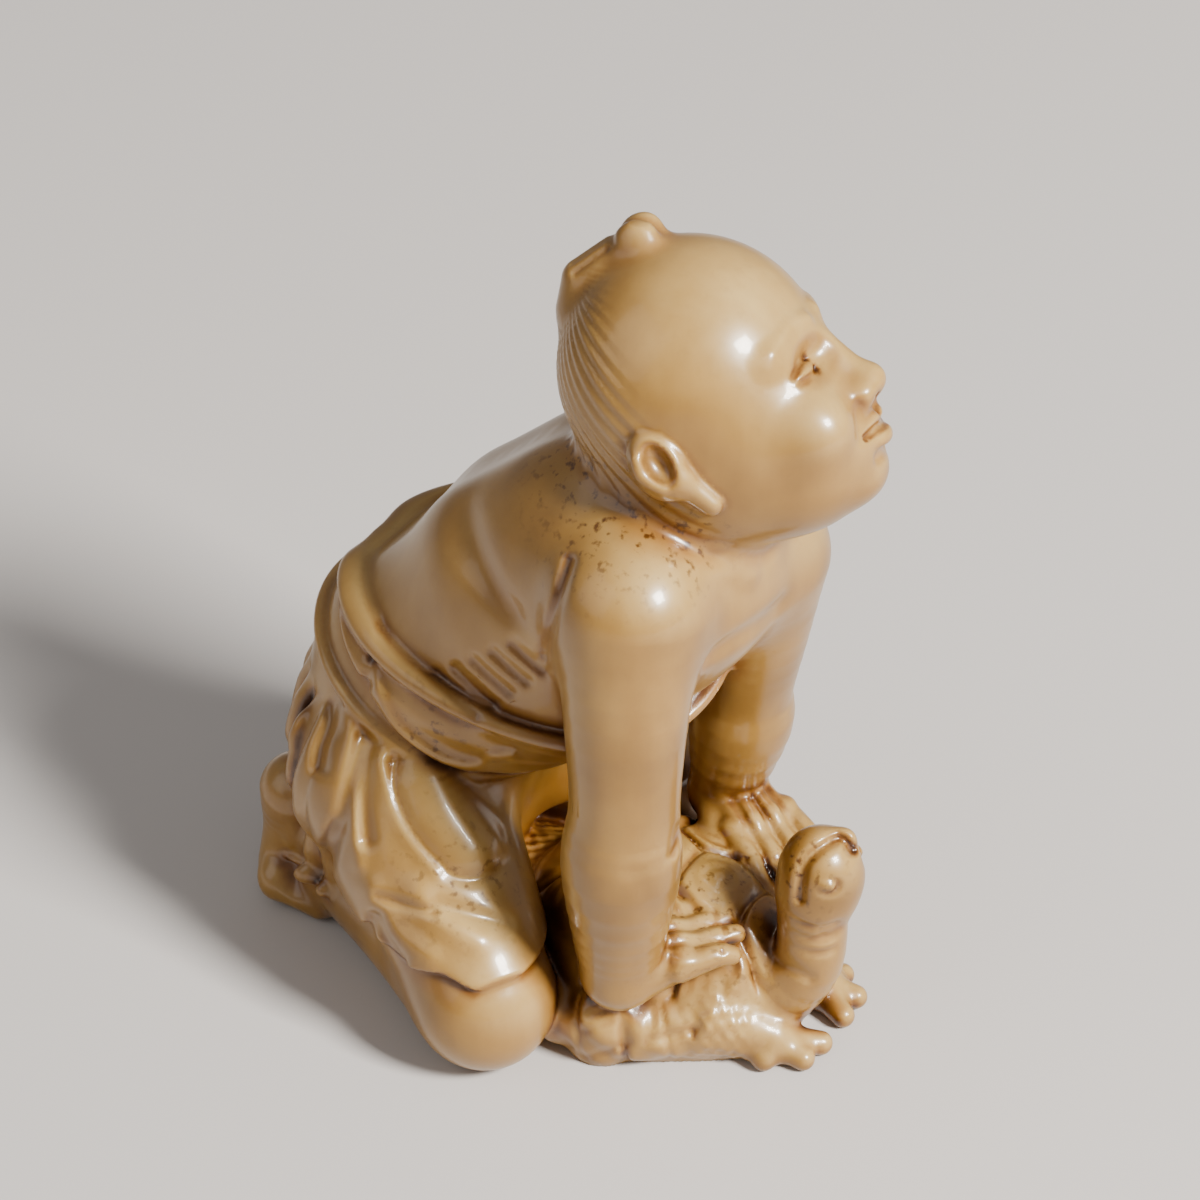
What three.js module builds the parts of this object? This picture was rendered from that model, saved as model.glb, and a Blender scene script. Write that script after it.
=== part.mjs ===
// A netsuke: a kneeling man who leans with both hands on a turtle, carved from one piece of ivory.
// Millimetres. +Z is up, +X is the way the man kneels and +Y is his left hand's side.
// The origin is on the ground, under the middle of the carving.
//
// The carving is one solid. Its form is a distance function: every limb, cloth and shell is a round
// form that tells how far a point lies outside it, and the forms melt into each other by a chosen
// amount. The surface where the distance is nought is meshed and then thinned to few triangles. The
// finer carving (hair, ribs, scutes, small folds) is relief on top of this form.
import * as THREE from "three";

// ---------------------------------------------------------------- driving dimensions
const CELL = 0.5; // spacing of the grid on which the form is sampled
const TRIANGLES = 9000; // what is left of them when the surface is thinned
const MIDDLE = 0.375; // the numbers below count from a place this much behind the origin
const ROOM = { low: [-17, -13, -0.75], high: [18, 13, 42] }; // the space that is searched for the form
const IVORY = { color: 0xd9bf8c, roughness: 0.38, metalness: 0 };

// Limbs are rows of places along their middle, each with its thickness: [x, y, z, radius].
const RIGHT_ARM = [
  [6.6, -5.2, 25.2, 3.1],
  [6.7, -5.9, 20.9, 2.75],
  [6.8, -6.2, 15.6, 2.4],
  [6.7, -6.3, 12.2, 2.65],
  [6.4, -5.9, 7.8, 2.1],
  [6.35, -5.75, 5.45, 1.75],
];
const LEFT_ARM = [
  [7.6, 4.5, 22.2, 2.9],
  [6.9, 5.1, 17.4, 2.45],
  [6.3, 5.5, 13.6, 2.15],
  [6.0, 5.7, 11.4, 2.35],
  [5.2, 5.9, 7.2, 1.6],
];
const SHIN = [
  [0.9, 8.3, 2.9, 3.0],
  [-4.7, 5.1, 2.4, 2.5],
  [-9.8, 2.9, 2.2, 2.0],
];
const THIGH = [
  [-6.2, 3.9, 10.0, 4.2],
  [0.6, 8.1, 3.6, 3.1],
];
const SOLE = [
  [-12.2, 3.0, 6.0, 1.75],
  [-12.7, 2.8, 3.6, 1.35],
  [-13.0, 2.9, 1.5, 1.3],
];
const BALL = [[-13.0, 1.7, 1.3, 1.15], [-12.7, 4.0, 1.3, 1.05]];
const TOES = [1.4, 2.3, 3.0, 3.7, 4.4]; // how far to the side each toe lies, the big one first
const RIGHT_HAND = { wrist: [6.35, -5.75, 5.25], tip: [9.7, -1.6, 6.3], thumb: -1 };
const LEFT_HAND = { wrist: [5.2, 5.9, 6.8], tip: [10.4, 3.2, 6.0], thumb: 1 };
const HAND_WIDTH = 4.2;
const RIGHT_TOES = [[12.2, -3.1], [13.7, -2.2], [13.9, -0.9]]; // the tips of the turtle's toes
const LEFT_TOES = [[12.6, 3.6], [13.8, 2.6], [13.9, 1.2]];
const SHELL_RIM = [
  [3.2, -5.6, 1.7, 1.7],
  [6.6, -5.0, 1.7, 1.7],
  [8.8, -2.9, 1.7, 1.7],
  [9.9, 0, 1.7, 1.7],
  [8.8, 2.9, 1.7, 1.7],
  [6.6, 5.1, 1.7, 1.7],
  [3.2, 5.6, 1.7, 1.7],
  [0, 5, 1.7, 1.7],
];
const SHELL_CORNER = [[5.2, -5.3, 0.9, 1.75], [5.5, -5.5, 2.2, 1.75]]; // under the right hand

// The head has a frame of its own: x to the face, y to his left ear and z to the crown.
const HEAD = { at: [6.7, 1.0, 31.0], turn: 28, lift: 35, lean: 20 };

// The sash lies between two slanting planes, given by their height over the origin and their slope.
// Its upper edge rises a little more on the man's left side.
const SASH = { top: 17.54, topSlope: -0.24, rise: 0.35, foot: 11.97, footSlope: -0.72, thick: 0.55 };
const SKIRT = { hem: 2.7, folds: 22, depth: 0.3, knee: 0.92, thick: 0.5 };

// ---------------------------------------------------------------- distance forms
const clamp = (t, lo, hi) => Math.min(hi, Math.max(lo, t));
const mix = (a, b, t) => a.map((x, i) => x + (b[i] - x) * t);
const step = (lo, hi, t) => {
  const s = clamp((t - lo) / (hi - lo), 0, 1);
  return s * s * (3 - 2 * s);
};

// How far a point is from the stretch a to b, and how far along it the nearest place lies, 0 to 1.
function along(p, a, b) {
  const [dx, dy, dz] = [b[0] - a[0], b[1] - a[1], b[2] - a[2]];
  const [qx, qy, qz] = [p[0] - a[0], p[1] - a[1], p[2] - a[2]];
  const t = clamp((qx * dx + qy * dy + qz * dz) / (dx * dx + dy * dy + dz * dz), 0, 1);
  return [Math.hypot(qx - t * dx, qy - t * dy, qz - t * dz), t];
}

// How far a point lies past b, on the way from a to b.
function beyond(p, a, b) {
  const [dx, dy, dz] = [b[0] - a[0], b[1] - a[1], b[2] - a[2]];
  return ((p[0] - b[0]) * dx + (p[1] - b[1]) * dy + (p[2] - b[2]) * dz) / Math.hypot(dx, dy, dz);
}

// A round bar from a to b, as thick as the fourth number of each says.
const limb = (a, b) => (p) => {
  const [d, t] = along(p, a, b);
  return d - a[3] - (b[3] - a[3]) * t;
};
const limbs = (rows) => {
  const bars = rows.slice(1).map((row, i) => limb(rows[i], row));
  return (p) => bars.reduce((d, bar) => Math.min(d, bar(p)), Infinity);
};

// The same row of places with its corners rounded, in four short bars for each long one.
function bent(rows) {
  const line = new THREE.CatmullRomCurve3(rows.map(([x, y, z]) => new THREE.Vector3(x, y, z)));
  const thick = new THREE.SplineCurve(rows.map((row, i) => new THREE.Vector2(i, row[3])));
  const count = (rows.length - 1) * 4;
  return Array.from({ length: count + 1 }, (_, i) => [...line.getPoint(i / count).toArray(), thick.getPoint(i / count).y]);
}

// An egg: an ellipsoid with its half lengths in reach, turned by a matrix if one is given.
const egg = (at, reach, turn) => {
  const back = turn ? turn.clone().transpose() : new THREE.Matrix3();
  const v = new THREE.Vector3();
  return (p) => {
    v.set(p[0] - at[0], p[1] - at[1], p[2] - at[2]).applyMatrix3(back);
    const k0 = Math.hypot(v.x / reach[0], v.y / reach[1], v.z / reach[2]);
    const k1 = Math.hypot(v.x / reach[0] ** 2, v.y / reach[1] ** 2, v.z / reach[2] ** 2);
    return k1 < 1e-9 ? -Math.min(...reach) : (k0 * (k0 - 1)) / k1;
  };
};

const join = (a, b, k) => {
  const h = Math.max(k - Math.abs(a - b), 0) / k;
  return Math.min(a, b) - (h * h * k) / 4;
};
const cut = (a, b, k) => -join(-a, b, k);
const joined = (k, forms) => (p) => {
  let d = forms[0](p);
  for (let i = 1; i < forms.length; i++) d = join(d, forms[i](p), k);
  return d;
};

// A groove along a row of places, or a raised line where the depth is below nought.
const groove = (rows, depth, width) => (p) => {
  let nearest = Infinity;
  for (let i = 1; i < rows.length; i++) nearest = Math.min(nearest, along(p, rows[i - 1], rows[i])[0]);
  return nearest > 3 * width ? 0 : depth * Math.exp(-((nearest / width) ** 2));
};

// A turn to the left, then a lift of the front, then a lean to the left, in degrees.
function turned(turn, lift, lean) {
  const m = new THREE.Matrix4().makeRotationZ(THREE.MathUtils.degToRad(turn));
  m.multiply(new THREE.Matrix4().makeRotationY(-THREE.MathUtils.degToRad(lift)));
  m.multiply(new THREE.Matrix4().makeRotationX(-THREE.MathUtils.degToRad(lean)));
  return new THREE.Matrix3().setFromMatrix4(m);
}
const placed = (form, at, turn) => {
  const back = turn.clone().transpose();
  const v = new THREE.Vector3();
  return (p) => form(v.set(p[0] - at[0], p[1] - at[1], p[2] - at[2]).applyMatrix3(back).toArray());
};

// ---------------------------------------------------------------- the bare body
function torso() {
  const lean = turned(0, 42, 0);
  const body = joined(2.5, [
    egg([-5.4, 0, 14.8], [6.8, 6.0, 6.0], lean),
    egg([0.2, 0.1, 20.2], [7.6, 6.3, 7.0], lean),
    egg([4.0, 0.2, 24.2], [5.6, 6.4, 6.4], lean),
    limb([6.0, -4.6, 25.2, 2.9], [6.8, 4.0, 22.9, 2.8]),
    limb([4.6, 0.3, 25.6, 3.4], [6.0, 0.9, 30.0, 2.9]),
  ]);
  const backbone = groove([[-10.4, 0, 20.0], [-4.8, 0, 26.0], [0.6, 0.2, 30.6]], 0.55, 0.7);
  const armpit = groove([[3.0, -4.4, 27.4], [3.4, -5.4, 25.4], [3.2, -6.4, 21.6]], 0.45, 0.5);
  const breast = groove([[9.2, -3.6, 22.4], [10.2, -1.5, 22.6], [10.4, 1.4, 22.2]], 0.4, 0.6);
  return (p) => body(p) + backbone(p) + armpit(p) + breast(p);
}

// A hand laid flat: a palm, four fingers side by side and a thumb on its inner edge.
function hand({ wrist, tip, thumb }) {
  const from = new THREE.Vector3(...wrist);
  const ahead = new THREE.Vector3(...tip).sub(from);
  const across = new THREE.Vector3(-ahead.y, ahead.x, 0).normalize().multiplyScalar(HAND_WIDTH / 4);
  const row = (f, s, h, r) => {
    const at = from.clone().addScaledVector(ahead, f).addScaledVector(across, s);
    return [at.x, at.y, at.z + h, r];
  };
  const forms = [limb(row(0, 0, 0, 1.7), row(0.45, 0.5, 0.1, 1.2)), limb(row(0, 0, 0, 1.7), row(0.45, -0.5, 0.1, 1.2))];
  for (const s of [-1.5, -0.5, 0.5, 1.5]) {
    const length = 1 - 0.06 * s * s;
    forms.push(limbs([row(0.42, s * 0.9, 0.2, 0.7), row(0.72, s, 0.3, 0.62), row(length, s * 1.05, 0, 0.5)]));
  }
  forms.push(limbs([row(0.1, -thumb * 0.9, -0.1, 0.9), row(0.45, -thumb * 2.2, -0.2, 0.65)]));
  return joined(0.4, forms);
}

// The foot stands on its ball behind the seat, with the sole to the back and the toes bent under.
const foot = () => joined(0.5, [
  limbs(SOLE),
  limbs(BALL),
  ...TOES.map((y, i) => limb([-12.6, y, 1.0, 0.6], [-11.0 + 0.15 * i, y, 0.6, i ? 0.5 : 0.7])),
]);
const leg = () => joined(1.0, [limbs(THIGH), limbs(SHIN), foot()]);
const onRight = (form) => (p) => form([p[0], -p[1], p[2]]);

// ---------------------------------------------------------------- the head
function head() {
  const skull = joined(1.6, [
    egg([0.7, 0, 2.4], [5.7, 5.3, 5.75]),
    egg([-0.7, 0, -0.8], [4.1, 4.3, 4.6]),
    egg([2.2, 0, -1.4], [4.4, 4.3, 4.5]),
    egg([3.1, 0, -3.6], [2.8, 3.0, 2.2]),
  ]);
  const face = joined(0.8, [
    limb([5.7, 0, 1.4, 0.5], [7.1, 0, -1.7, 0.75]),
    limb([5.3, -1.1, -3.4, 0.75], [5.3, 1.1, -3.4, 0.75]),
    egg([4.5, 0, -5.0], [1.2, 1.5, 1.0]),
    limb([5.7, 0.8, 1.8, 0.45], [4.7, 3.2, 1.7, 0.45]),
    limb([5.7, -0.8, 1.8, 0.45], [4.7, -3.2, 1.7, 0.45]),
    egg([4.3, 2.5, -1.9], [2.0, 1.5, 1.8]),
    egg([4.3, -2.5, -1.9], [2.0, 1.5, 1.8]),
  ]);
  const sockets = [-1, 1].map((s) => egg([6.1, s * 2.1, 0.35], [0.9, 1.3, 0.7]));
  const lids = [-1, 1].map((s) => egg([4.95, s * 2.1, 0.25], [0.9, 1.2, 0.62]));
  const mouth = groove([[5.7, -1.2, -3.45], [6.1, 0, -3.4], [5.7, 1.2, -3.45]], 0.3, 0.25);
  const hair = joined(0.5, [
    limbs([[-2.0, 0, 7.0, 1.05], [-1.3, 0, 7.95, 0.95], [0.6, 0, 8.2, 0.85]]),
    egg([1.8, 0.55, 8.5], [0.95, 0.6, 0.75]),
    egg([1.8, -0.55, 8.5], [0.95, 0.6, 0.75]),
  ]);
  return (p) => {
    let d = join(skull(p), face(p), 0.9);
    for (const socket of sockets) d = cut(d, socket(p), 0.6);
    for (const lid of lids) d = join(d, lid(p), 0.3);
    d = join(d + mouth(p), hair(p), 0.4);
    return Math.min(ear(p, 1, d), ear(p, -1, d));
  };
}

// An ear: a leaf against the head with a hollow in it and a long lobe.
const EAR = egg([-1.0, 5.0, 0.4], [1.2, 0.85, 1.65]);
const EAR_HOLLOW = egg([-0.75, 5.9, 0.55], [0.6, 0.85, 1.05]);
const LOBE = limb([-0.5, 4.75, -0.8, 0.65], [-0.1, 4.5, -2.2, 0.5]);
function ear(p, side, skull) {
  const q = [p[0], p[1] * side, p[2]];
  const leaf = cut(join(EAR(q), LOBE(q), 0.5), EAR_HOLLOW(q), 0.3);
  return join(skull, leaf, 0.25);
}

// ---------------------------------------------------------------- the cloth
// The skirt hangs from the sash round the seat and lies on the thighs. Folds run down its back.
function skirt(body) {
  const [hip, knee] = THIGH;
  const end = mix(hip, knee, SKIRT.knee);
  const sleeve = (p) => cut(limb(hip, knee)(p) - SKIRT.thick, -beyond(p, hip, end), 0.3);
  const robe = joined(1.8, [
    egg([-6.8, 0, 10.4], [5.5, 6.4, 5.8]),
    limb([-7.4, 0, 9.0, 5.1], [-8.2, 0, 2.2, 5.85]),
    (p) => cut(body(p) + 0.2, SASH.foot + 1.5 + SASH.footSlope * p[0] - p[2], 0.5),
    sleeve,
    onRight(sleeve),
  ]);
  return (p) => {
    const around = Math.atan2(p[1], -p[0] - 6.5);
    const behind = step(1.9, 1.3, Math.abs(around)) * step(14, 11, p[2]);
    const folds = SKIRT.depth * Math.cos(SKIRT.folds * around + 0.3 * p[2]) * behind;
    return cut(robe(p) + folds, p[2] - SKIRT.hem, 0.5);
  };
}

// The top of the robe has slipped from the shoulders and is rolled round the waist as a sash.
const sash = (body) => (p) => {
  const over = p[2] - (SASH.top + SASH.topSlope * p[0] + SASH.rise * Math.max(p[1] + 1, 0));
  const under = SASH.foot + SASH.footSlope * p[0] - p[2];
  return cut(cut(body(p) - SASH.thick, -over, 0.5), -under, 0.5);
};

// A flap of the robe falls from the sash over the front of the right thigh.
const FLAP = [[-3.6, -5.8, 11.9, 1.7], [-2.6, -6.2, 10.6, 1.9], [-1.5, -6.3, 9.4, 1.95]];
const FLAP_EDGE = [[-4.2, -6.9, 13.2], [-2.9, -7.7, 11.5], [-1.2, -8.0, 9.8], [0.4, -6.6, 8.9]];

// ---------------------------------------------------------------- the turtle
function turtle() {
  const dome = joined(1.6, [
    egg([4.4, 0, 1.2], [6.2, 6.3, 6.4]),
    egg([8.0, 0, 1.6], [4.4, 4.2, 5.4]),
  ]);
  const rim = joined(0.3, [limbs(bent(SHELL_RIM)), limb(...SHELL_CORNER)]);
  const tail = egg([-1.5, 0, 1.5], [5.5, 4.8, 2.8]);
  const neck = joined(0.8, [
    limbs(bent([[10.6, -0.2, 2.2, 2.4], [12.6, -0.2, 4.2, 1.9], [12.9, -0.1, 8.0, 1.75]])),
    egg([13.15, 0.1, 9.4], [1.95, 1.9, 2.4]),
    limb([13.6, 0.6, 10.6, 0.6], [13.95, 0.8, 11.3, 0.35]),
  ]);
  const forms = [tail, neck];
  for (const [side, toes] of Object.entries({ "-1": RIGHT_TOES, 1: LEFT_TOES })) {
    const paw = [11.9, side * 2.1, 1.1, 1.2];
    forms.push(limb([9.4, side * 2.9, 1.9, 2.0], paw));
    for (const [x, y] of toes) forms.push(limb([paw[0], paw[1], 0.9, 0.75], [x, y, 0.55, 0.55]));
  }
  const limbsAndTail = joined(0.5, forms);
  return (p) => join(join(dome(p), rim(p), 0.3), limbsAndTail(p), 0.6);
}

// ---------------------------------------------------------------- the whole carving
function carving() {
  const trunk = torso();
  const rightArm = limbs(bent(RIGHT_ARM));
  const leftArm = limbs(bent(LEFT_ARM));
  const skull = placed(head(), HEAD.at, turned(HEAD.turn, HEAD.lift, HEAD.lean));
  const parts = joined(0.35, [
    (p) => join(join(trunk(p), Math.min(rightArm(p), leftArm(p)), 1.4), skull(p), 0.9),
    hand(RIGHT_HAND),
    hand(LEFT_HAND),
    leg(),
    onRight(leg()),
    skirt(trunk),
    sash(trunk),
    limbs(FLAP),
    turtle(),
  ]);
  const flapEdge = groove(FLAP_EDGE, 0.55, 0.45);
  return (p) => Math.max(parts(p) + flapEdge(p), -p[2]);
}

// ---------------------------------------------------------------- meshing
// Each cube of the grid is six tetrahedra. The surface cuts each of them in a triangle or two, so the
// mesh is always closed. A layer of the grid lies half a cell under the ground, which keeps it flat.
const TETRAHEDRA = [[0, 1, 3, 7], [0, 3, 2, 7], [0, 2, 6, 7], [0, 6, 4, 7], [0, 4, 5, 7], [0, 5, 1, 7]];

function sampled(form, low, high, cell) {
  const size = low.map((lo, i) => Math.ceil((high[i] - lo) / cell) + 1);
  const values = new Float64Array(size[0] * size[1] * size[2]);
  const place = (i) => {
    const cells = [i % size[0], Math.floor(i / size[0]) % size[1], Math.floor(i / (size[0] * size[1]))];
    return cells.map((c, k) => low[k] + c * cell);
  };
  for (let i = 0; i < values.length; i++) values[i] = form(place(i));
  return { size, values, place };
}

function surface(form, low, high, cell) {
  const { size, values, place } = sampled(form, low, high, cell);
  const corners = [0, 1, 2, 3, 4, 5, 6, 7].map((k) => (k & 1) + size[0] * (((k >> 1) & 1) + size[1] * (k >> 2)));
  const points = [];
  const faces = [];
  const made = new Map();
  const crossing = (i, j) => {
    const key = Math.min(i, j) * values.length + Math.max(i, j);
    if (!made.has(key)) {
      const t = clamp(values[i] / (values[i] - values[j]), 0.03, 0.97);
      made.set(key, points.push(mix(place(i), place(j), t)) - 1);
    }
    return made.get(key);
  };
  const add = (a, b, c, inside, outside) => {
    const out = new THREE.Vector3(...place(outside)).sub(new THREE.Vector3(...place(inside)));
    const across = normal(points[a], points[b], points[c]);
    faces.push(across.dot(out) > 0 ? [a, b, c] : [a, c, b]);
  };
  for (let first = 0; first < values.length - corners[7]; first++) {
    if (first % size[0] === size[0] - 1 || Math.floor(first / size[0]) % size[1] === size[1] - 1) continue;
    const signs = corners.reduce((n, c) => n + (values[first + c] < 0 ? 1 : 0), 0);
    if (signs === 0 || signs === 8) continue;
    for (const four of TETRAHEDRA) {
      const ids = four.map((k) => first + corners[k]);
      const [a, b, c] = ids.filter((i) => values[i] < 0);
      const [d, e, f] = ids.filter((i) => values[i] >= 0);
      if (a !== undefined && b === undefined) add(crossing(a, d), crossing(a, e), crossing(a, f), a, d);
      if (c !== undefined && d !== undefined) add(crossing(a, d), crossing(b, d), crossing(c, d), a, d);
      if (b !== undefined && c === undefined) {
        add(crossing(a, d), crossing(a, e), crossing(b, e), a, d);
        add(crossing(a, d), crossing(b, e), crossing(b, d), a, d);
      }
    }
  }
  return { points, faces };
}

// The outermost skin alone: a pocket that the forms shut in between them is filled.
function skin({ points, faces }) {
  const leader = points.map((_, i) => i);
  const lead = (i) => {
    while (leader[i] !== i) i = leader[i] = leader[leader[i]];
    return i;
  };
  for (const [a, b, c] of faces) {
    leader[lead(a)] = lead(b);
    leader[lead(b)] = lead(c);
  }
  const counts = new Map();
  for (const [a] of faces) counts.set(lead(a), (counts.get(lead(a)) || 0) + 1);
  const largest = [...counts].sort((one, two) => two[1] - one[1])[0][0];
  return { points, faces: faces.filter(([a]) => lead(a) === largest) };
}

function normal(a, b, c) {
  const u = new THREE.Vector3(b[0] - a[0], b[1] - a[1], b[2] - a[2]);
  const v = new THREE.Vector3(c[0] - a[0], c[1] - a[1], c[2] - a[2]);
  return u.cross(v);
}

// ---------------------------------------------------------------- thinning
// The edge whose loss changes the form least is shrunk to a point, again and again. The change is
// the sum of squared distances to the planes of all the triangles that met there (ten numbers).
function planesAt(points, faces) {
  const sums = points.map(() => new Float64Array(10));
  for (const face of faces) {
    const n = normal(...face.map((i) => points[i]));
    const area = n.length();
    if (area < 1e-12) continue;
    n.divideScalar(area);
    const w = -(n.x * points[face[0]][0] + n.y * points[face[0]][1] + n.z * points[face[0]][2]);
    const plane = [n.x, n.y, n.z, w];
    for (const i of face) {
      let k = 0;
      for (let r = 0; r < 4; r++) for (let c = r; c < 4; c++) sums[i][k++] += area * plane[r] * plane[c];
    }
  }
  return sums;
}

const misfit = (q, [x, y, z]) =>
  q[0] * x * x + 2 * q[1] * x * y + 2 * q[2] * x * z + 2 * q[3] * x +
  q[4] * y * y + 2 * q[5] * y * z + 2 * q[6] * y + q[7] * z * z + 2 * q[8] * z + q[9];

// The best place for the point that an edge shrinks to, and what the change costs.
function shrunk(a, b, qa, qb) {
  const q = qa.map((v, i) => v + qb[i]);
  const middle = mix(a, b, 0.5);
  const m = new THREE.Matrix3().set(q[0], q[1], q[2], q[1], q[4], q[5], q[2], q[5], q[7]);
  const size = q[0] + q[4] + q[7];
  const places = [middle, a, b];
  if (m.determinant() > 1e-4 * size ** 3) {
    const best = new THREE.Vector3(-q[3], -q[6], -q[8]).applyMatrix3(m.invert()).toArray();
    if (Math.hypot(...best.map((v, i) => v - middle[i])) < CELL * 2) places.push(best);
  }
  const length = Math.hypot(a[0] - b[0], a[1] - b[1], a[2] - b[2]);
  let chosen = null;
  for (const at of places) {
    const cost = misfit(q, at) + 1e-3 * size * length * length;
    if (!chosen || cost < chosen.cost) chosen = { at, cost };
  }
  return chosen;
}

// A queue that always hands out the cheapest entry.
class Queue {
  constructor() {
    this.heap = [];
  }
  put(entry) {
    const heap = this.heap;
    let i = heap.push(entry) - 1;
    while (i > 0) {
      const up = (i - 1) >> 1;
      if (heap[up].cost <= entry.cost) break;
      heap[i] = heap[up];
      i = up;
    }
    heap[i] = entry;
  }
  take() {
    const heap = this.heap;
    const first = heap[0];
    const entry = heap.pop();
    if (heap.length === 0) return first;
    let i = 0;
    for (;;) {
      let down = 2 * i + 1;
      if (down >= heap.length) break;
      if (down + 1 < heap.length && heap[down + 1].cost < heap[down].cost) down++;
      if (heap[down].cost >= entry.cost) break;
      heap[i] = heap[down];
      i = down;
    }
    heap[i] = entry;
    return first;
  }
}

function thinned({ points, faces }, target) {
  const sums = planesAt(points, faces);
  const round = points.map(() => new Set());
  faces.forEach((face, f) => face.forEach((i) => round[i].add(f)));
  const stamp = new Int32Array(points.length);
  const queue = new Queue();
  const offer = (a, b) => {
    const { at, cost } = shrunk(points[a], points[b], sums[a], sums[b]);
    queue.put({ a, b, at, cost, stamp: stamp[a] + stamp[b] });
  };
  const neighbours = (i) => new Set([...round[i]].flatMap((f) => faces[f]).filter((j) => j !== i));
  const folds = (i, other, at) =>
    [...round[i]].some((f) => {
      if (faces[f].includes(other)) return false;
      const before = normal(...faces[f].map((j) => points[j]));
      const after = normal(...faces[f].map((j) => (j === i ? at : points[j])));
      return before.dot(after) < 0.25 * before.length() * after.length() || after.length() < 1e-3;
    });
  for (const [a, b, c] of faces) {
    if (a < b) offer(a, b);
    if (b < c) offer(b, c);
    if (c < a) offer(c, a);
  }
  let left = faces.length;
  while (left > target && queue.heap.length) {
    const { a, b, at, stamp: when } = queue.take();
    if (!round[a] || !round[b] || when !== stamp[a] + stamp[b]) continue;
    const near = neighbours(a);
    const shared = [...neighbours(b)].filter((j) => near.has(j));
    if (shared.length !== 2 || shared.some((j) => round[j].size < 4)) continue;
    if (folds(a, b, at) || folds(b, a, at)) continue;
    for (const f of [...round[b]]) {
      if (faces[f].includes(a)) {
        faces[f].forEach((j) => round[j].delete(f));
        faces[f] = null;
        left--;
      } else {
        faces[f] = faces[f].map((j) => (j === b ? a : j));
        round[a].add(f);
      }
    }
    points[a] = at;
    sums[a] = sums[a].map((v, i) => v + sums[b][i]);
    round[b] = null;
    stamp[a]++;
    for (const j of neighbours(a)) offer(Math.min(a, j), Math.max(a, j));
  }
  return { points, faces: faces.filter(Boolean) };
}

// ---------------------------------------------------------------- the part
const { points, faces } = thinned(skin(surface(carving(), ROOM.low, ROOM.high, CELL)), TRIANGLES);
for (const point of points) if (Math.abs(point[2]) < 0.04) point[2] = 0;

const geometry = new THREE.BufferGeometry();
geometry.setAttribute("position", new THREE.Float32BufferAttribute(faces.flat().flatMap((i) => points[i]), 3));
geometry.translate(-MIDDLE, 0, 0);
geometry.computeVertexNormals();

const figure = new THREE.Mesh(geometry, new THREE.MeshStandardMaterial(IVORY));
figure.name = "carved_figure";
const group = new THREE.Group();
group.name = "netsuke";
group.add(figure);

export default group;
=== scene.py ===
# %% [markdown]
# # An ivory netsuke: a man kneels and leans on a turtle
# A netsuke is a toggle that a carver cuts from one small block of ivory and rubs to a gloss. Nothing is
# glued on: hair, cloth, ribs and shell are all cut into the same piece. So this script makes one closed
# mesh, and puts its work into the carving and into the old, hand-worn finish.
#
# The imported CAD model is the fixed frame. The piece made here has the same main form, with the finer
# carving added, and stands for the CAD node.

import math
from functools import reduce

import bpy
import numpy as np
from mathutils import Matrix, Vector


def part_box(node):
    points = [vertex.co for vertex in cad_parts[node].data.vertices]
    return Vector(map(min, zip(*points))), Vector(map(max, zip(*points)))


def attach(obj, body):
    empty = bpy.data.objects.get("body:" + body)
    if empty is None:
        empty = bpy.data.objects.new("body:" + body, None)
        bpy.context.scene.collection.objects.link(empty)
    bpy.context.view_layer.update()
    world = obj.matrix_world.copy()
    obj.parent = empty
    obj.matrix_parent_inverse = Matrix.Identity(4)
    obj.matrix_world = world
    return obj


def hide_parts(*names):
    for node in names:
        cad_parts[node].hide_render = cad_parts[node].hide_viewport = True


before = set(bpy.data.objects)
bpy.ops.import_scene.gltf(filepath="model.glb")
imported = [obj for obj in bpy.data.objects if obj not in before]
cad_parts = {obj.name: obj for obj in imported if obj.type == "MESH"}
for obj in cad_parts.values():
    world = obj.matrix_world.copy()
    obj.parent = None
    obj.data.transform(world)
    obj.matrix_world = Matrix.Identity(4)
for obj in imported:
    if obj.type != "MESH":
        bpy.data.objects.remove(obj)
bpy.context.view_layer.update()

# %% [markdown]
# ## The camera
# The carving is seen from above its right side with a long lens, as a small thing on a table is. A long
# lens far away keeps the near hand from looking larger than the head.

# %% Camera
TURN = math.radians(30)  # how far the camera stands round to the front from the man's right side
HEIGHT = math.radians(38)  # how far it looks down
AWAY = 0.25  # metres
LENS = 172.5  # mm, on a sensor 36 mm wide

back = Vector((math.sin(TURN) * math.cos(HEIGHT), -math.cos(TURN) * math.cos(HEIGHT), math.sin(HEIGHT)))
aim = Vector((0.001625, 0.0, 0.0204))  # the middle of the view, in metres
camera = bpy.data.objects.new("camera", bpy.data.cameras.new("camera"))
camera.data.lens = LENS
camera.data.clip_start = 0.01
camera.location = aim + back * AWAY
camera.rotation_euler = (-back).to_track_quat("-Z", "Y").to_euler()
bpy.context.scene.collection.objects.link(camera)
bpy.context.scene.camera = camera
print("width in view at the carving, in mm:", round(1000 * AWAY * camera.data.sensor_width / LENS, 1))

# %% [markdown]
# ## Distance forms
# A carver thinks of round masses that flow into each other, and then of cuts into them. A distance form
# says the same in numbers: it is a function that tells, for any place, how far that place lies outside
# a shape (below nought: inside). Two forms melt together by a soft minimum, and a cut is a soft maximum.
# Sculpting by hand or with brushes would also work, but it can't be written down and changed later.
# Geometry Nodes suit pieces that repeat, and here nothing is a piece of its own.
#
# Places are measured in millimetres. They come in batches, and each batch knows the ball that holds
# it, so that a form that is far away can answer at once.

# %% Places and simple forms
REACH = 3.2  # mm: past this a form needs no exact answer, as no two forms melt over a longer way


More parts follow.
